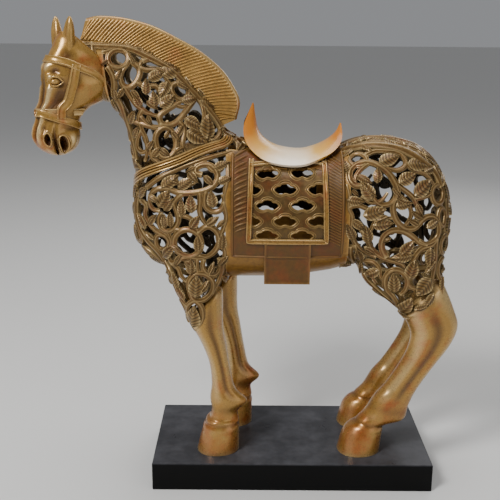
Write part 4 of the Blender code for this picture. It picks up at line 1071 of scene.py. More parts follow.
@dataclass
class Openwork:
    """The pierced wall: long leafy vines laid along both flanks, and rings of vine round chest, back and rump."""

    body: Body
    foundry: Foundry
    finish: Finish
    leaf_finish: Finish
    vine_half: float = 0.0038
    leaf_length: float = 0.026
    largest: tuple[float, ...] = (0.019, 0.015, 0.017, 0.014)
    smallest: float = 0.0092
    leaf_gap: float = 0.0040
    flank_gap: float = 0.0135
    sink: float = 0.0016
    stride: float = 0.0023
    ring_turn: float = math.radians(352)
    most_large: int = 400
    mane: np.ndarray = field(default_factory=lambda: even(MANE_IN, 60))
    scrolls: list[Scroll] = field(default_factory=list)
    leaves: list[tuple[Any, Any, Any, Any]] = field(default_factory=list)
    flank_vines: list[Bead] = field(default_factory=list)

    def is_open(self, p: np.ndarray) -> bool:
        """Whether the wall is pierced at a place of the skin."""
        x, y, z = p
        # the cloth covers the wall, and draws back beside the pommel
        if CLOTH[0] - 0.004 + 0.026 * float(step(z, 0.428, 0.436)) < x < CLOTH[1] + 0.004 and z > 0.20:
            return False
        # whole too: the throat behind the jaw, the mane's foot and the strap's bed
        if z > 0.44 and x + 0.115 * (z - 0.485) < -0.2265:
            return False
        if z > 0.44 and x < -0.07 and np.min(np.hypot(self.mane[:, 0] - x, self.mane[:, 1] - z)) < 0.0085:
            return False
        if x < CLOTH[0] and abs(z - strap_height(x, y)) < 0.0062:
            return False
        # the legs are smooth below a slanting line
        if x < 0:
            shift = FORE_BACK if y > 0 else 0.0
            return z > 0.214 + 1.15 * (x - shift + 0.135) or z > 0.29
        shift = HIND_BACK if y > 0 else 0.0
        return z > 0.222 + 0.78 * (x - shift - 0.139)

    def _on_flank(self, x: float, z: float, side: Side) -> np.ndarray:
        """The place of a flank's skin behind a point of the side view; the far legs stand further back."""
        back = (FORE_BACK if x < 0 else HIND_BACK) * (1 - float(step(z, 0.27, 0.36))) if side is Side.FAR else 0.0
        return self.body.hit(np.array((x + back, 0.0, z)), np.array((0.0, float(side.value), 0.0)))

    def lay_flanks(self) -> None:
        """Lays the listed vines and leaves on both flanks."""
        for side in Side:
            for width, loop, *points in VINES:
                line = np.array(points, float) / 1000
                length = float(np.linalg.norm(np.diff(line, axis=0), axis=1).sum())
                count = max(int(length / self.stride), 8)
                fine = catmull(line, count, bool(loop))
                share = np.linspace(0, 1, count)
                half = self.vine_half * width / 100 * (1.0 if loop else 1 - 0.30 * step(share, 0.62, 1.0))
                targets = [self._on_flank(x, z, side) for x, z in fine]
                # a main vine passes over the ones that cross it
                out = -self.sink + 0.0003 * (width > 100)
                self.flank_vines.append(self.body.path(targets, out, half * np.ones(count), bool(loop)))
            for rx, rz, tx, tz, width in LEAVES:
                root, tip = (self._on_flank(x / 1000, z / 1000, side) for x, z in ((rx, rz), (tx, tz)))
                _, normal = self.body.lay((root + tip) / 2)
                length = float(np.linalg.norm(tip - root))
                self.leaves.append((root + normal * 0.0004, normal, unit(tip - root),
                                    (length / self.leaf_length * 1.06, length * width * 3.7, 1.05)))

    def pack(self) -> None:
        """Packs touching rings over the open skin that the flank vines leave, large before small, then leaves."""
        self.lay_flanks()
        points, normals = self.body.points, self.body.normals
        wanted = points[:, 2] > 0.19
        points, normals = points[wanted], normals[wanted]
        free = np.array([self.is_open(p) for p in points])
        laid = [p for bead in self.flank_vines for p in bead.points]
        laid += [root + along * (size[0] * self.leaf_length * share) for root, _, along, size in self.leaves
                 for share in (0.15, 0.5, 0.85)]
        walls, vines = kdtree.KDTree(int((~free).sum())), kdtree.KDTree(len(laid))
        for tree, places in ((walls, points[~free]), (vines, laid)):
            for i, p in enumerate(places):
                tree.insert(p, i)
            tree.balance()
        spots, ups = points[free], normals[free]
        gap = np.array([vines.find(p)[2] for p in spots]) - self.vine_half
        room = np.minimum(np.array([walls.find(p)[2] for p in spots]), gap)
        # the flank pattern keeps its own openings
        kept = (np.abs(ups[:, 1]) > 0.45) & (gap < self.flank_gap)
        room[kept] = 0
        for index in range(self.most_large):
            fits = np.flatnonzero(room >= self.largest[index % len(self.largest)])
            if len(fits):
                room = self._place(spots, ups, room, int(fits[np.argmin(room[fits])]))
        while room.max() > self.smallest:
            room = self._place(spots, ups, room, int(np.argmax(room)))
        while room.max() > self.leaf_gap:
            pick = int(np.argmax(room))
            self._gap_leaf(spots[pick], ups[pick], float(room[pick]))
            room = np.minimum(room, np.linalg.norm(spots - spots[pick], axis=1) - room[pick] * 1.1)

    def _place(self, spots: np.ndarray, ups: np.ndarray, room: np.ndarray, pick: int) -> np.ndarray:
        """Adds one scroll that fills its place, and gives back the room that is left."""
        centre, normal, radius = spots[pick], ups[pick], float(room[pick])
        scroll = Scroll(centre, normal, radius)
        gaps = [np.linalg.norm(o.centre - centre) - o.radius - radius for o in self.scrolls]
        u, v = self._axes(normal)
        if gaps and min(gaps) < 0.003:
            parent = self.scrolls[int(np.argmin(gaps))]
            away = parent.centre - centre
            scroll.start, scroll.sense = math.atan2(float(away @ v), float(away @ u)), -parent.sense
        else:
            scroll.start, scroll.sense = 2.4 * len(self.scrolls), 1
        self.scrolls.append(scroll)
        return np.minimum(room, np.linalg.norm(spots - centre, axis=1) - radius)

    @staticmethod
    def _axes(normal: np.ndarray) -> tuple[np.ndarray, np.ndarray]:
        """Two directions that lie in the skin."""
        hint = np.array((0.0, 0.0, 1.0)) if abs(normal[2]) < 0.85 else np.array((1.0, 0.0, 0.0))
        u = unit(np.cross(hint, normal))
        return u, np.cross(normal, u)

    def _gap_leaf(self, place: np.ndarray, normal: np.ndarray, room: float) -> None:
        """A leaf across a gap, growing from the nearest ring."""
        gaps = [abs(np.linalg.norm(o.centre - place) - o.radius) for o in self.scrolls]
        away = place - self.scrolls[int(np.argmin(gaps))].centre
        along = unit(away - normal * (away @ normal))
        length = min(0.008 + room * 2.2, 0.027)
        share = length / self.leaf_length
        root = place - along * length * 0.5 + normal * 0.0002
        self.leaves.append((root, normal, along, (share, share * 0.92, 1.0)))

    def _vine(self, scroll: Scroll) -> Bead:
        """The bead of one ring, a little out of round, with leaves that grow inwards from it where it is large."""
        u, v = self._axes(scroll.normal)
        whole = scroll.radius - 0.4 * self.vine_half
        count = max(int(self.ring_turn * whole / self.stride), 14)
        angle = np.linspace(0, self.ring_turn, count)
        t = scroll.start + scroll.sense * angle
        reach = whole * (1 + 0.045 * np.cos(2 * angle + 1.0))
        flat = scroll.centre + np.outer(np.cos(t) * reach, u) + np.outer(np.sin(t) * reach, v)
        half = self.vine_half * (0.95 + 0.08 * np.sin(angle + scroll.start))
        bead = self.body.path(flat, -self.sink, half)
        roots = (0.10, 0.47) if scroll.radius > 0.0155 else (0.10,) if scroll.radius > 0.0115 else ()
        for share in roots:
            index = int(share * (count - 1))
            root, normal = bead.points[index], bead.normals[index]
            inward = unit(scroll.centre - root)
            along = unit(inward + (0.45 if len(roots) > 1 else 0.15) * scroll.sense * np.cross(normal, inward))
            length = min(scroll.radius * (1.15 if len(roots) > 1 else 1.45), 0.024) / self.leaf_length
            self.leaves.append((root + normal * 0.0006, normal, along, (length, length * 0.85, 1.0)))
        return bead

    @staticmethod
    def _blade(share: float) -> float:
        """Half width of the leaf at a share of its length."""
        return 0.0070 * math.sin(math.pi * min(max(share, 0.0), 0.999) ** 0.74) ** 0.9 + 0.0004

    def leaf_model(self) -> Piece:
        """A leaf as long as leaf_length: domed blade with a midrib, a pointed tip and a flat back, root at the origin.

        Returns:
            The leaf, with an attribute that says how far along and across the blade each point lies.
        """
        skin, rows, cols = Skin(), 10, 7
        grid = np.zeros((rows, cols, 3))
        for i in range(rows):
            t = i / (rows - 1)
            wide = self._blade(t)
            for k in range(cols):
                s = 2 * k / (cols - 1) - 1
                lift = 0.0014 * (1 - s * s) + (0.0011 if s == 0 else 0.0) + (0.0005 if abs(s) > 0.9 else 0.0)
                grid[i, k] = (self.leaf_length * t, wide * s, lift - 0.0004 + 0.0006 * math.sin(math.pi * t))
        skin.sheet(grid)
        edge = [(i, 0) for i in range(rows)] + [(rows - 1, k) for k in range(1, cols)]
        edge += [(i, cols - 1) for i in range(rows - 2, -1, -1)] + [(0, k) for k in range(cols - 2, 0, -1)]
        start, count = len(skin.verts), len(edge)
        skin.verts.extend((grid[i, k][0], grid[i, k][1] * 0.86, -0.0022) for i, k in edge)
        for j, ((i, k), (m, n)) in enumerate(zip(edge, edge[1:] + edge[:1])):
            skin.faces.append((i * cols + k, m * cols + n, start + (j + 1) % count, start + j))
        skin.faces.append(tuple(range(start, start + count)))
        obj = skin.piece("leaf_model", None, 60.0)
        blade = obj.data.attributes.new("blade", "FLOAT_VECTOR", "POINT")
        for i, v in enumerate(obj.data.vertices):
            t = v.co.x / self.leaf_length
            blade.data[i].vector = (t, v.co.y / self._blade(t), 1.0)
        bpy.context.scene.collection.objects.unlink(obj)
        return obj

    def _hug(self, obj: Piece, places: Sequence[tuple[Any, Any, Any, Any]]) -> Piece:
        """Bends every leaf of a piece to the skin beneath it.

        Args:
            obj: the piece, whose vertices lie leaf after leaf.
            places: where each leaf stands.

        Returns:
            The piece.
        """
        mesh = obj.data
        flat = np.empty(len(mesh.vertices) * 3)
        mesh.vertices.foreach_get("co", flat)
        blocks = flat.reshape(len(places), -1, 3)
        for block, (root, normal, _, _) in zip(blocks, places):
            height = (block - root) @ normal
            for i, foot in enumerate(block - np.outer(height, normal)):
                block[i], _ = self.body.lay(foot, height[i] + 0.0005)
        mesh.vertices.foreach_set("co", flat)
        mesh.update()
        return obj

    def borders(self) -> list[Bead]:
        """Thick vines along the mane's foot on both sides and down the spine of the rump."""
        beads = []
        base = even(MANE_IN, 110)[4:]
        for side in Side:
            targets = np.stack([base[:, 0] - 0.002, sway(base[:, 0]) + side.value * 0.014, base[:, 1] - 0.004], axis=1)
            beads.append(self.body.path(targets, -0.0008, 0.0046, ease=4))
        # a collar where the neck's wall begins behind the jaw
        collar = oval(catmull(NECK[:3], 9)[2], 72, 2.2, RING_LEAN)
        low = np.roll(collar, -int(np.argmax(collar[:, 2])), axis=0)[6:-6]
        beads.append(self.body.path(low, -0.0006, 0.0042, ease=4))
        spine = [(x, -0.004, girth(x)[1]) for x in np.linspace(0.060, 0.182, 50)]
        rump = catmull(((0.182, 0.404), (0.196, 0.372), (0.199, 0.335), (0.190, 0.305)), 30)
        spine += [(x, -0.004, z) for x, z in rump[1:]]
        beads.append(self.body.path(spine, -0.0010, 0.0056, ease=4))
        shoulder = [(x, -0.022, girth(x)[1] - 0.004) for x in np.linspace(0.060, 0.165, 44)]
        beads.append(self.body.path(shoulder, -0.0012, 0.0040, ease=4))
        return beads

    def build(self) -> list[Piece]:
        """Makes the vines and leaves, split into forehand and quarters."""
        self.pack()
        model = self.leaf_model()
        made = []
        groups = {"forehand_vines": lambda p: p[0] < 0 and p[2] <= NECK_FOOT,
                  "neck_vines": lambda p: p[0] < 0 and p[2] > NECK_FOOT,
                  "quarter_vines": lambda p: p[0] >= 0}
        for name, inside in groups.items():
            beads = [self._vine(s) for s in self.scrolls if inside(s.centre)]
            beads += [b for b in self.flank_vines if inside(b.points.mean(axis=0))]
            made.append(self.foundry.sweep(name, beads, Profile.VINE, self.finish))
        made.append(self.foundry.sweep("border_vines", self.borders(), Profile.VINE, self.finish))
        for name, part in (("forehand_leaves", [p for p in self.leaves if p[0][0] < 0]),
                           ("quarter_leaves", [p for p in self.leaves if p[0][0] >= 0])):
            made.append(self._hug(self.foundry.leaves(name, part, model, self.leaf_finish), part))
        LOG.info("%d scrolls, %d leaves", len(self.scrolls), len(self.leaves))
        return made


@dataclass
class LegSet:
    """Four smooth legs, closed by a dome inside the openwork, with hoof and fetlock."""

    finish: Finish
    fore_top: Rows = ((-0.114, 0.247, -0.106, 0.262, 1.0, 0.0030), (-0.121, 0.238, -0.101, 0.262, 1.0, 0.0120),
                      (-0.128, 0.226, -0.095, 0.260, 1.0, 0.0178), (-0.1330, 0.216, -0.0905, 0.252, 1.0, 0.0205))
    hind_top: Rows = ((0.158, 0.262, 0.168, 0.272, 0.98, 0.0030), (0.150, 0.250, 0.176, 0.272, 0.98, 0.0130),
                      (0.144, 0.236, 0.184, 0.270, 0.99, 0.0185), (0.1395, 0.224, 0.1905, 0.262, 1.0, 0.0212))

    def build(self) -> list[Piece]:
        """Makes the legs."""
        made = []
        for leg, top, skip in ((Legs.FORE, self.fore_top, 4), (Legs.HIND, self.hind_top, 5)):
            rows = tuple(top) + leg.value[0][skip:]
            for side in Side:
                plain = leg_rings(leg, side, 120, 56, rows)
                skin = Skin().rings([self._carve(ring) for ring in plain])
                skin.wash = [float(w) for ring in plain for w in self._wash(ring, leg)] + [0.0, 0.0]
                made.append(skin.piece(f"{leg.name.lower()}_leg_{side.tag}", self.finish))
        return made

    @staticmethod
    def _wash(ring: np.ndarray, leg: Legs) -> np.ndarray:
        """Where glaze and painted shade darken a section (below 0) and where it is rubbed bright under a painted
        highlight (above 0).
        """
        z, along = ring.mean(axis=0)[2], np.cos(around(len(ring)))
        fore = leg is Legs.FORE
        shin = float(step(z, 0.100, 0.125) * (1 - step(z, 0.215, 0.260)))
        # the hollow beside the tendon in painted shade, the tendon and the front of the shin in painted highlight,
        # coronet and fetlock, upper leg
        wash = -0.85 * shin * hump(along, 0.22 if fore else 0.08, 0.22)
        wash = wash + 0.45 * (0.4 + 0.6 * shin) * hump(along, -0.60, 0.28)
        wash = wash + 0.40 * hump(along, 0.85, 0.20) * float(step(z, 0.110, 0.150))
        wash = wash - 0.60 * hump(z, 0.0760, 0.0030) - 0.45 * hump(z, 0.0960, 0.0060)
        return np.clip(wash + 0.28 * float(step(z, 0.215, 0.250)) * (0.4 if fore else 1), -1, 1)

    @staticmethod
    def _carve(ring: np.ndarray) -> np.ndarray:
        """Cuts the coronet's groove, the tendon's hollow and the hollow above the hoof into a section."""
        centre, along = ring.mean(axis=0), np.cos(around(len(ring)))
        z = centre[2]
        squeeze = 1 - 0.045 * hump(z, 0.0755, 0.0018) + 0.020 * hump(z, 0.0700, 0.0020)
        shin = float(step(z, 0.105, 0.125) * (1 - step(z, 0.190, 0.225)))
        hollow = 0.20 * shin * hump(along, 0.30, 0.24) - 0.06 * shin * hump(along, -0.55, 0.30)
        out = centre + (ring - centre) * np.array((squeeze, squeeze, 1.0))
        out[:, 1] -= (out[:, 1] - centre[1]) * hollow
        return out


@dataclass
class GirthBand:
    """The plain wall under the saddle cloth, open behind the pierced panels, and what lies on it."""

    foundry: Foundry
    wall_finish: Finish
    cloth_finish: Finish
    gold: Finish
    panel_finish: Finish
    rear_pitch: float = 0.0034
    front_pitch: float = 0.0062
    wall_depth: float = 0.0035
    cloth_depth: float = 0.0030
    rib_top: float = 0.428

    def build(self) -> list[Piece]:
        """Makes the wall, the cloth with its ribs, the frames, panels and flaps."""
        made = [self._wall(), self._cloth()]
        for side in Side:
            made += [self._ribs(side), self._frame(side), self._panel(side), self._flap(side)]
        return made

    def _window(self, place: np.ndarray, inset: float) -> bool:
        """Whether a place lies inside the frame, so that the panel shows there."""
        front, back, low, high = FRAME
        x, _, z = place
        return front + inset < x < back - inset and low + inset < z < high - inset

    def _kept(self, place: np.ndarray, inset: float) -> bool:
        """Whether the wall or cloth is whole at a place: clear of the panels, and drawn back beside the pommel."""
        return not self._window(place, inset) and not (place[2] > 0.434 and place[0] < CLOTH[0] + 0.020)

    def _wall(self) -> Piece:
        """A band of wall round the trunk from the cloth's front edge to its back edge."""
        xs, turns = np.linspace(-0.0865, 0.0635, 76), np.linspace(-90, 270, 241)
        grid = np.array([[trunk_point(x, t) for t in turns] for x in xs])
        return self._shell("girth_wall", grid, 0.001, self.wall_depth, self.wall_finish)

    def _cloth(self) -> Piece:
        """The cloth, hem to hem over the back."""
        front, back, hem = CLOTH
        grid = np.array([[trunk_point(x, t, CLOTH_RAISE - 0.0008) for t in
                          np.linspace(side_turn(x, hem), 180 - side_turn(x, hem), 170)]
                         for x in np.linspace(front, back, 68)])
        return self._shell("saddle_cloth", grid, 0.0005, self.cloth_depth, self.cloth_finish)

    def _shell(self, name: str, grid: np.ndarray, inset: float, depth: float, finish: Finish) -> Piece:
        """A thick sheet round the trunk, open behind the panels.

        Args:
            name: the piece's name.
            grid: its outer points over x and turn.
            inset: how far its opening lies inside the frame.
            depth: its thickness.
            finish: its material.

        Returns:
            The piece, with its faces turned outwards.
        """
        turned = grid[:, ::-1]
        skin = Skin().sheet(turned, lambda i, k: self._kept(turned[i, k], inset))
        obj = skin.piece(name, finish, closed=False)
        polygons = obj.data.polygons
        facing = sum(p.normal.dot(Vector((0, p.center.y, p.center.z - 0.35))) > 0 for p in polygons)
        if facing < len(polygons) / 2:
            obj.data.flip_normals()
        thicken(obj, depth)
        smooth(obj)
        return obj

    def _ribs(self, side: Side) -> Piece:
        """Slanting ribs of the cloth: coarse in front of the frame, fine behind it, and an edge bead round the hem."""
        front, back, hem = CLOTH
        beads = []
        for z in np.arange(0.338, self.rib_top, self.front_pitch):
            xs = np.linspace(front + 0.0020, FRAME[0] - 0.0050, 10)
            bow = (xs - xs[0]) / (xs[-1] - xs[0])
            half = 0.0021 * np.sin(np.pi * (0.10 + 0.82 * bow)) ** 0.7 * float(step(z, 0.330, 0.352) * 0.5 + 0.5)
            beads.append(flank_bead(zip(xs, z + 0.0065 * bow ** 0.7), CLOTH_RAISE - 0.0008, half, side))
        for z in np.arange(0.330, self.rib_top, self.rear_pitch):
            xs = np.linspace(FRAME[1] + 0.0050, back - 0.0022, 8)
            bow = (xs - xs[0]) / (xs[-1] - xs[0])
            beads.append(flank_bead(zip(xs, z - 0.007 * bow), CLOTH_RAISE - 0.0007, 0.00115, side))
        hem_line = [(front, z) for z in np.linspace(self.rib_top, hem, 26)]
        hem_line += [(x, hem) for x in np.linspace(front, back, 28)[1:-1]]
        hem_line += [(back, z) for z in np.linspace(hem, self.rib_top, 26)]
        beads.append(flank_bead(hem_line, CLOTH_RAISE - 0.0008, 0.0019, side))
        return self.foundry.sweep(f"cloth_ribs_{side.tag}", beads, Profile.RIB, self.cloth_finish)

    def _frame(self, side: Side) -> Piece:
        """The raised double rail round the panel."""
        front, back, low, high = FRAME
        line = [(front + (high - z) * -0.03, z) for z in np.linspace(high + 0.008, low, 22)]
        line += [(x, low) for x in np.linspace(front - 0.0024, back + 0.0024, 22)[1:-1]]
        line += [(back + (high - z) * 0.03, z) for z in np.linspace(low, high + 0.008, 22)]
        bead = flank_bead(line, CLOTH_RAISE - 0.0002, 0.0032, side)
        top = flank_bead([(x, high + 0.003) for x in np.linspace(front, back, 22)], CLOTH_RAISE - 0.0004, 0.0030, side)
        return self.foundry.sweep(f"panel_frame_{side.tag}", [bead, top], Profile.RAIL, self.gold)

    @staticmethod
    def cloud(x: float, z: float, grow: float, count: int = 40) -> np.ndarray:
        """Outline of one cloud-shaped opening in the side view: pointed ends and a lobed top and bottom."""
        shape = ((1.0, 0.0), (0.76, 0.52), (0.50, 0.64), (0.34, 0.92), (0.0, 1.05), (-0.34, 0.92), (-0.50, 0.64),
                 (-0.76, 0.52), (-1.0, 0.0), (-0.74, -0.60), (-0.38, -0.86), (0.0, -0.66), (0.38, -0.86), (0.74, -0.60))
        line = catmull([(a * (0.0136 + grow), b * (0.0064 + grow)) for a, b in shape], count, loop=True)
        return line + np.array((x, z))

    def _clouds(self) -> list[tuple[float, float]]:
        """Centres of the openings, staggered row by row."""
        spots = []
        for row, z in enumerate((0.406, 0.3885, 0.3705, 0.352, 0.3345)):
            columns = (-0.036, 0.006) if row % 2 == 0 else (-0.0575, -0.0145, 0.0265)
            spots += [(x, z) for x in columns]
        return spots

    def _panel(self, side: Side) -> Piece:
        """The lattice: a curved plate with cloud-shaped openings, each rimmed by a double line."""
        front, back, low, high = FRAME
        xs, zs = np.linspace(front - 0.002, back + 0.002, 46), np.linspace(low - 0.002, high + 0.004, 44)
        skin = Skin().slab(*([[flank(x, z, out, side) for x in xs] for z in zs] for out in (0.0016, -0.0020)))
        plate = skin.piece(f"panel_lattice_{side.tag}", self.panel_finish)
        tools = Skin()
        beads = []
        for x, z in self._clouds():
            line = self.cloud(x, z, 0.0)
            y = flank(x, z, 0.0, side)[1]
            tools.rings([[(a, y + side.value * d, b) for a, b in line] for d in (-0.014, 0.014)])
            for grow, half in ((0.0006, 0.0015), (0.0030, 0.0009)):
                ring = self.cloud(x, z, grow)
                ring = ring[(ring[:, 0] > front - 0.001) & (ring[:, 0] < back + 0.001)
                            & (ring[:, 1] > low - 0.001) & (ring[:, 1] < high + 0.003)]
                # a rim that the frame cuts off starts where it comes in again
                closed = len(ring) == len(line)
                if not closed:
                    gap = int(np.argmax(np.linalg.norm(ring - np.roll(ring, 1, 0), axis=1)))
                    ring = np.roll(ring, -gap, 0)
                if len(ring) > 3:
                    beads.append(flank_bead(ring, 0.0016, half, side, closed))
        cutter = tools.piece("panel_cutter")
        cut = plate.modifiers.new("openings", "BOOLEAN")
        cut.operation, cut.solver, cut.object = "DIFFERENCE", "EXACT", cutter
        freeze(plate)
        bpy.data.objects.remove(cutter)
        smooth(plate)
        rims = self.foundry.sweep(f"panel_rims_{side.tag}", beads, Profile.RIB, self.panel_finish)
        return join(plate, [rims])

    def _flap(self, side: Side) -> Piece:
        """The girth flap that hangs below the cloth, with a raised border."""
        front, back, low, high = FLAP
        xs, zs = np.linspace(front, back, 30), np.linspace(low, high, 28)

        def place(x: float, z: float, out: float) -> tuple[float, float, float]:
            """A point of the flap, which hangs straight down from where the trunk turns under."""
            held = max(z, 0.304)
            y = -trunk_point((front + back) / 2, side_turn((front + back) / 2, held))[1] + CLOTH_RAISE + out
            edge = min(x - front, back - x, z - low)
            border = 0.0011 * (1 - float(step(edge, 0.0016, 0.0034)))
            return (x, side.value * (y + (border if out > 0 else 0.0)), z)

        skin = Skin().slab(*([[place(x, z, out) for x in xs] for z in zs] for out in (0.0002, -0.0050)))
        return skin.piece(f"girth_flap_{side.tag}", self.cloth_finish)


def join(first: Piece, others: Sequence[Piece]) -> Piece:
    """Makes several objects one piece."""
    bm = bmesh.new()
    for obj in (first, *others):
        bm.from_mesh(obj.data)
    bm.to_mesh(first.data)
    bm.free()
    for obj in others:
        bpy.data.objects.remove(obj)
    smooth(first)
    return first


@dataclass
class Mane:
    """The hogged mane: a tapering crest ribbed on both sides, with a bright edge along its top."""

    foundry: Foundry
    finish: Finish
    edge_finish: Finish
    ribs: int = 54
    slant: float = 0.030
    base: float = 0.0125
    edge: float = 0.0080
    steps: int = 90
    fine_steps: int = 600

    def build(self) -> list[Piece]:
        """Makes the crest, its ribs and its edge."""
        low, high = even(MANE_IN, self.steps), even(MANE_OUT, self.steps)
        rings = [[(a[0], sway(a[0]) - self.base / 2, a[1] - 0.002), (b[0], sway(b[0]) - self.edge / 2, b[1]),
                  (b[0], sway(b[0]) + self.edge / 2, b[1]), (a[0], sway(a[0]) + self.base / 2, a[1] - 0.002)]
                 for a, b in zip(low, high)]
        crest = Skin().rings(rings).piece("mane_crest", self.finish)
        fine_low, fine_high = even(MANE_IN, self.fine_steps), even(MANE_OUT, self.fine_steps)
        last = self.fine_steps - 1
        beads = []
        for side in Side:
            for k in range(self.ribs):
                share = k / (self.ribs - 1)
                foot = fine_low[int(np.clip(share - self.slant, 0.004, 0.996) * last)]
                tip = fine_high[int(np.clip(share + self.slant, 0.010, 0.985) * last)]
                line = np.linspace(0.02, 0.99, 8)[:, None]
                xz = foot + (tip - foot) * line
                xz[:, 1] += 0.0008 * np.sin(np.pi * line[:, 0])
                y = sway(xz[:, 0])
                wall = (self.base + (self.edge - self.base) * line[:, 0]) / 2
                points = np.stack([xz[:, 0], y + side.value * (wall - 0.0002), xz[:, 1]], axis=1)
                normals = np.tile((0.0, float(side.value), 0.0), (len(line), 1))
                beads.append(Bead(points, normals, np.linspace(0.0014, 0.0019, len(line))))
        ribs = self.foundry.sweep("mane_ribs", beads, Profile.RIB, self.finish)
        ups = unit(high - low)
        edge = Bead(np.stack([high[:, 0], sway(high[:, 0]), high[:, 1]], axis=1),
                    np.stack([ups[:, 0], 0 * ups[:, 0], ups[:, 1]], axis=1), spread(0.0048, len(high)))
        rim = self.foundry.sweep("mane_edge", [edge], Profile.RIB, self.edge_finish, width=0.95)
        return [crest, ribs, rim]


@dataclass
class Head:
    """The solid head: face, eyes, nostrils, open mouth, ears and bridle."""

    foundry: Foundry
    finish: Finish
    strap_finish: Finish
    sides: int = 180
    full_cut: float = 2.8
    eye: tuple[float, float, float] = (0.0062, 0.0050, 0.0038)

    @staticmethod
    def section(z: float) -> tuple[float, float, float, float]:
        """Centre x, y, half length and half width of the head at a height."""
        left, right, half = (float(np.interp(z, Head.table[:, 0], Head.table[:, k])) for k in (1, 2, 3))
        x = (left + right) / 2
        long = math.sqrt(max(((right - left) / 2) ** 2 - (math.sin(HEAD_TURN) * half) ** 2, 3e-5)) / math.cos(HEAD_TURN)
        return x, -0.028 + (x + 0.265) * math.tan(HEAD_TURN), long, half

    table = catmull(HEAD, 200)[::-1]
    forward = np.array((-math.cos(HEAD_TURN), -math.sin(HEAD_TURN), 0.0))
    near = np.array((math.sin(HEAD_TURN), -math.cos(HEAD_TURN), 0.0))

    @classmethod
    def plain(cls, angle: float, z: float, out: float = 0.0) -> np.ndarray:
        """A point of the head before carving; angle 0 is the face, 90 the near side, 180 the back, in degrees."""
        x, y, long, half = cls.section(z)
        a = math.radians(angle)
        along, across = signed(math.cos(a), 0.86), signed(math.sin(a), 0.86)
        return (np.array((x, y, z)) + cls.forward * along * (long + out)
                + cls.near * across * (1 - 0.18 * along) * (half + out))

    # Carving made alike on both cheeks: angle, z, angle reach, z reach, height in mm
    carving = np.array((
        (0, 0.4940, 12, 0.0300, -3.2), (29, 0.4930, 6.5, 0.0280, 2.8), (50, 0.4930, 12, 0.0210, -3.6),
        (34, 0.5262, 13, 0.0048, -3.8), (36, 0.5202, 16, 0.0028, 2.0), (38, 0.5135, 15, 0.0056, -3.0),
        (36, 0.5065, 16, 0.0030, 1.1), (12, 0.5320, 14, 0.0070, 2.4), (62, 0.5430, 14, 0.0080, -2.2),
        (0, 0.4550, 10, 0.0120, -2.6), (24, 0.4560, 8, 0.0130, 2.4), (40, 0.4600, 8, 0.0050, -2.2),
        (54, 0.4470, 8.0, 0.0066, -9.5), (89, 0.4435, 7.5, 0.0062, -10.0), (93, 0.4375, 7.5, 0.0056, -9.0),
        (73, 0.4400, 4.5, 0.0170, -4.6), (73, 0.4300, 6.0, 0.0060, -4.0), (114, 0.4450, 13, 0.0085, 2.2),
        (110, 0.4590, 22, 0.0040, -1.8), (118, 0.4790, 16, 0.0050, -2.4), (66, 0.4960, 8, 0.0220, -1.8),
        (142, 0.5000, 6, 0.0150, -1.4), (46, 0.4330, 14, 0.0040, 1.6), (100, 0.4315, 14, 0.0040, 1.8),
    ))
    # Raised discs with a rim: angle, z, angle reach, z reach, height and rim height in mm
    discs = np.array(((99, 0.5060, 30, 0.0200, 3.6, 0.0), (54, 0.4470, 14, 0.0105, 1.4, 1.6),
                      (91, 0.4410, 14, 0.0125, 1.2, 1.5)))

    @classmethod
    def carved(cls, angle: float, z: float) -> tuple[float, float]:
        """How far the carving and the raised discs stand out at a place, in mm."""
        turn = abs((angle + 180) % 360 - 180)
        a, zc, ra, rz, height = cls.carving.T
        cut = float((height * np.exp(-((turn - a) / ra) ** 2 - ((z - zc) / rz) ** 2)).sum())
        a, zc, ra, rz, height, rim = cls.discs.T
        away = np.hypot((turn - a) / ra, (z - zc) / rz)
        return cut, float((height * (1 - step(away, 0.20, 1.20)) + rim * hump(away, 0.88, 0.13)).sum())

    @classmethod
    def point(cls, angle: float, z: float, out: float = 0.0) -> np.ndarray:
        """A point of the carved head."""
        return cls.plain(angle, z, out + sum(cls.carved(angle, z)) / 1000)

    @classmethod
    def normal(cls, angle: float, z: float) -> np.ndarray:
        """Outward direction at a place of the head."""
        up = cls.plain(angle, z + 0.003) - cls.plain(angle, z - 0.003)
        round_ = cls.plain(angle + 3, z) - cls.plain(angle - 3, z)
        normal = unit(np.cross(round_, up))
        return normal if normal @ (cls.plain(angle, z) - np.array((*cls.section(z)[:2], z))) > 0 else -normal

    def bead(self, path: Rows, half: Any, out: float = 0.0, loop: bool = False, count: int = 40) -> Bead:
        """A bead along (angle, z) places of the head."""
        fine = catmull(path, count, loop)
        points = np.array([self.plain(a, z, out) for a, z in fine])
        normals = np.array([self.normal(a, z) for a, z in fine])
        return Bead(points, normals, spread(half, count), loop)

    def build(self) -> list[Piece]:
        """Makes the head and what is on it."""
        heights = np.concatenate([[0.5712, 0.5706], np.linspace(0.5695, 0.4282, 170), [0.4272, 0.4266]])
        angles = [360 * (k + 0.5) / self.sides for k in range(self.sides)]
        skin = Skin().rings([[self.point(a, z) for a in angles] for z in heights])
        # glaze and painted shade stay where the face is cut in, the ridges are rubbed and carry a painted highlight;
        # the two poles at the ends have none
        skin.wash = [max(-1.0, min(0.8, self.carved(a, z)[0] / self.full_cut)) for z in heights for a in angles]
        skin.wash += [0.0, 0.0]
        skull = skin.piece("head_skin", self.finish, 60.0)
        throat = Skin().rings([oval(s, 48, 2.2, RING_LEAN, 0.0012) for s in catmull(NECK[:2], 14)])
        made = [skull, throat.piece("throat", self.finish)]
        ears = Skin()
        for side in Side:
            self._ear(ears, -side.value)
        made.append(ears.piece("ears", self.finish, 50.0))
        made.append(self.foundry.sweep("face_lines", self._features(), Profile.RIB, self.finish))
        balls = Skin()
        for side in Side:
            self._ball(balls, self.plain(-side.value * 38, 0.5142, -0.0036), self.eye)
        made.append(balls.piece("eyes", self.finish))
        made.append(self.foundry.sweep("bridle", self._bridle(), Profile.BAND, self.strap_finish))
        return made

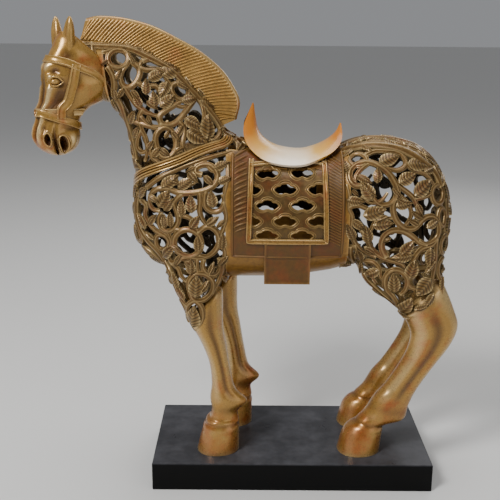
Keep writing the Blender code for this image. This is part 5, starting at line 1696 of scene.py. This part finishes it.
    def _ball(self, skin: Skin, centre: np.ndarray, radii: Sequence[float]) -> None:
        """An ellipsoid whose first axis lies along the face."""
        rings = []
        for i in range(1, 16):
            lat = math.pi * i / 16 - math.pi / 2
            up = np.array((0, 0, radii[2] * math.sin(lat)))
            rings.append([centre + self.forward * radii[0] * math.cos(lat) * math.cos(a)
                          + self.near * radii[1] * math.cos(lat) * math.sin(a) + up
                          for a in np.linspace(0, 2 * math.pi, 24, endpoint=False)])
        skin.rings(rings)

    def _ear(self, skin: Skin, side: int) -> None:
        """A pricked ear: a pointed leaf with a hollow down its front."""
        base = np.array((-0.2790, -0.0330, 0.5390)) + self.near * side * 0.0118
        tip = np.array((-0.2797, -0.0330, 0.5885)) + self.near * side * 0.0185
        rings = []
        for t in np.linspace(0, 1, 30):
            size = float(np.interp(t, (0, 0.2, 0.42, 0.68, 0.86, 0.96, 1),
                                   (0.0070, 0.0088, 0.0092, 0.0080, 0.0056, 0.0032, 0.0008)))
            centre = base + (tip - base) * t + self.forward * 0.0016 * math.sin(math.pi * t)
            ring = []
            for a in np.linspace(0, 2 * math.pi, 36, endpoint=False):
                front = hump((a + math.pi) % (2 * math.pi) - math.pi, 0.0, 0.62)
                reach = 1 - 0.80 * front * float(step(t, 0.22, 0.40))
                ring.append(centre + (self.forward * math.cos(a) * 0.85 + self.near * math.sin(a)) * size * reach)
            rings.append(ring)
        skin.rings(rings)

    def _features(self) -> list[Bead]:
        """Lids, nostril rims and lips."""
        beads = []
        for s in (1, -1):
            upper = [(s * a, z) for a, z in ((19, 0.5142), (28, 0.5186), (38, 0.5200), (48, 0.5184), (56, 0.5138))]
            lower = [(s * a, z) for a, z in ((19, 0.5142), (29, 0.5104), (38, 0.5092), (47, 0.5100), (56, 0.5138))]
            beads.append(self.bead(upper, (0.0008, 0.0015, 0.0018, 0.0015, 0.0008), -0.0006))
            beads.append(self.bead(lower, (0.0007, 0.0012, 0.0014, 0.0012, 0.0007), -0.0010))
            for angle, z, ra, rz, lean in ((54, 0.4470, 10.0, 0.0080, 0.0), (91, 0.4408, 9.5, 0.0112, -3.0)):
                rim = [(s * (angle + ra * math.cos(t) + lean * math.sin(t)), z + rz * math.sin(t))
                       for t in np.linspace(0, 2 * math.pi, 12, endpoint=False)]
                beads.append(self.bead(rim, 0.0010, 0.0016, True))
        return beads

    def _bridle(self) -> list[Bead]:
        """Noseband, browband with throat latch, and cheek straps."""
        nose = [(angle, 0.4690 + 0.0095 * math.cos(math.radians(angle))) for angle in range(0, 360, 20)]
        beads = [self.bead(nose, 0.0046, 0.0004, True, 90)]
        for s in (1, -1):
            turns = ((-8, 0.5400), (20, 0.5396), (45, 0.5382), (68, 0.5345), (96, 0.5240), (112, 0.5110),
                     (124, 0.5010), (134, 0.4950))
            beads.append(self.bead([(s * a, z) for a, z in turns], 0.0046, 0.0010, count=70))
            down = ((77, 0.5330), (73, 0.5180), (70, 0.5015), (74, 0.4860), (83, 0.4715))
            beads.append(self.bead([(s * a, z) for a, z in down], 0.0056, 0.0006, count=40))
        return beads


@dataclass
class Tack:
    """Breast strap and saddle."""

    body: Body
    foundry: Foundry
    gold: Finish
    horn: Finish
    thick: float = 0.0065

    def strap(self) -> Piece:
        """The grooved strap round the chest, from saddle to saddle."""
        # one more station carries each end on over the withers, to the pommel
        half = catmull(((-34, 0.4450),) + STRAP, 78)
        path = [(a, z) for a, z in half] + [(-360 - a, z) for a, z in half[-2::-1]]
        targets = [self.body.hit(np.array((STRAP_AXIS_X, 0, z)), np.array((math.cos(a), math.sin(a), 0)))
                   for a, z in ((math.radians(a), z) for a, z in path)]
        bead = self.body.path(targets, 0.0012, 0.0058, ease=6)
        return self.foundry.sweep("breast_strap", [bead], Profile.STRAP, self.gold)

    def saddle(self) -> Piece:
        """The crescent, arched across the back and drawn up to a point before and behind."""
        rings = []
        for rx, rz, ex, ez, half in catmull(SADDLE, 90):
            half = max(half, 0.0010)
            thick = min(self.thick, 0.0014 + half * 0.42)
            lean = 0.25 * (1 - float(step(rx, -0.040, -0.015))) - 0.25 * float(step(rx, 0.015, 0.040))
            down = unit(np.array((lean, -1.0))) * thick
            ring = []
            for s, share in ([(s, 0.0) for s in np.linspace(-1, 1, 41)]
                             + [(s, 1 - 0.35 * abs(s)) for s in np.linspace(0.95, -0.95, 31)]):
                rise = 1 - abs(s) ** 2.2
                x, z = ex + (rx - ex) * rise, ez + (rz - ez) * rise
                ring.append((x + down[0] * share, s * half, z + down[1] * share))
            rings.append(ring)
        return Skin().rings(rings).piece("saddle_horn", self.horn, 70.0)


@dataclass
class Studio:
    """Pale floor, soft lights and the camera at the photograph's angle."""

    eye: tuple[float, float, float] = (-0.0586, -1.071, 0.576)
    pitch: float = 14.6
    roll: float = -0.45
    lens: float = 61.2
    # name, place, aim, size in metres, watts
    lights: tuple[tuple[Any, ...], ...] = (
        ("key", (-1.1, -1.3, 1.9), (-0.05, 0, 0.30), 0.6, 50), ("fill", (1.6, -1.5, 0.7), (0, 0, 0.30), 1.2, 6),
        ("top", (0.1, 0.3, 2.2), (0, 0, 0.3), 1.2, 16), ("rim", (0.9, 1.5, 1.3), (0, 0, 0.35), 1.0, 7))

    def build(self) -> None:
        """Makes the floor, lights, world and camera."""
        mesh = bpy.data.meshes.new("floor")
        mesh.from_pydata([(-30, -30, 0), (30, -30, 0), (30, 30, 0), (-30, 30, 0)], [], [(0, 1, 2, 3)])
        floor = put("floor", mesh)
        paper, tree, shader = blank("matt_backdrop_paper")
        dress(tree, shader, {}, {"Base Color": linear("D9D8D5"), "Roughness": 0.9})
        mesh.materials.append(paper)
        for name, stand, aim, size, watts in self.lights:
            light = bpy.data.lights.new(name, "AREA")
            light.size, light.energy = size, watts
            lamp = put(name, light)
            lamp.location = stand
            lamp.rotation_euler = (Vector(aim) - Vector(stand)).to_track_quat("-Z", "Y").to_euler()
        world = bpy.data.worlds.new("studio")
        world.use_nodes = True
        dress(world.node_tree, world.node_tree.nodes["Background"], {}, {"Color": linear("DADCE0"), "Strength": 0.38})
        bpy.context.scene.world = world
        camera = put("camera", bpy.data.cameras.new("camera"))
        camera.data.lens, camera.data.sensor_width = self.lens, 36.0
        camera.location = self.eye
        camera.rotation_euler = (math.radians(90 - self.pitch), math.radians(self.roll), 0.0)
        bpy.context.scene.camera = camera


def place(pieces: Sequence[Piece], slot: Slot) -> None:
    """Rides pieces on the part's one body and reports them."""
    for piece in pieces:
        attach(piece, "root")
        LOG.info("%s: %d triangles", piece.name, sum(len(p.vertices) - 2 for p in piece.data.polygons))


def main() -> None:
    """Builds every sub-assembly over the frame."""
    logging.basicConfig(level=logging.INFO, format="%(message)s")
    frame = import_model()
    Studio().build()
    smooth_gold = PatinaGold("smooth_antique_gold", ground="A67E3A", rubbed="F2D8A0", glaze="4A2B0E", blush="A0561C",
                             blush_share=0.5, rub=0.3, warm_feet=0.8, roughness=0.27, mottling=0.18, metallic=0.5,
                             relief=0.03).build()
    # the vines carry painted shade on faces that look into the hollow body
    vine = {"ground": "6E5024", "rubbed": "D8BA80", "glaze": "120D06", "blush": "70421F", "rub": 0.75,
            "dark_inside": 0.92, "glaze_depth": 0.95, "lacquer": 0.12}
    vine_gold = PatinaGold("vine_antique_gold", **vine).build()
    leaf_gold = PatinaGold("leaf_antique_gold", veined=True, **vine).build()
    mane_gold = PatinaGold("mane_antique_gold", ground="966C2A", rubbed="CFA65E", glaze="241708", glaze_reach=0.003,
                           blush_share=0.25, rub=0.5).build()
    panel_gold = PatinaGold("panel_antique_gold", ground="634A22", rubbed="BC9A5A", glaze="120D06", blush="6E3E16",
                            glaze_reach=0.005, blush_share=0.5, rub=0.7, dark_inside=0.9, glaze_depth=0.95).build()
    cloth_gold = PatinaGold("cloth_brown_gold", ground="5A3C0E", rubbed="98723A", glaze="180D05", blush="6E390C",
                            glaze_reach=0.003, rub=0.45, metallic=0.2, blush_share=0.7, mottling=0.7,
                            roughness=0.46, lacquer=0.05).build()
    foundry = Foundry()
    body = Body()
    pieces = Openwork(body, foundry, vine_gold, leaf_gold).build()
    pieces += LegSet(smooth_gold).build()
    pieces += GirthBand(foundry, mane_gold, cloth_gold, smooth_gold, panel_gold).build()
    pieces += Mane(foundry, mane_gold, smooth_gold).build()
    pieces += Head(foundry, smooth_gold, smooth_gold).build()
    tack = Tack(body, foundry, smooth_gold, AmberHorn().build())
    pieces.append(tack.strap())
    place(pieces, Slot.HORSE)
    saddle = tack.saddle()
    place([saddle], Slot.SADDLE)
    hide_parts("horse")
    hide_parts("saddle")
    plinth = frame["nodes"]["plinth"]
    plinth.data.materials.clear()
    plinth.data.materials.append(BlackLacquer().build())


if __name__ == "__main__":
    main()
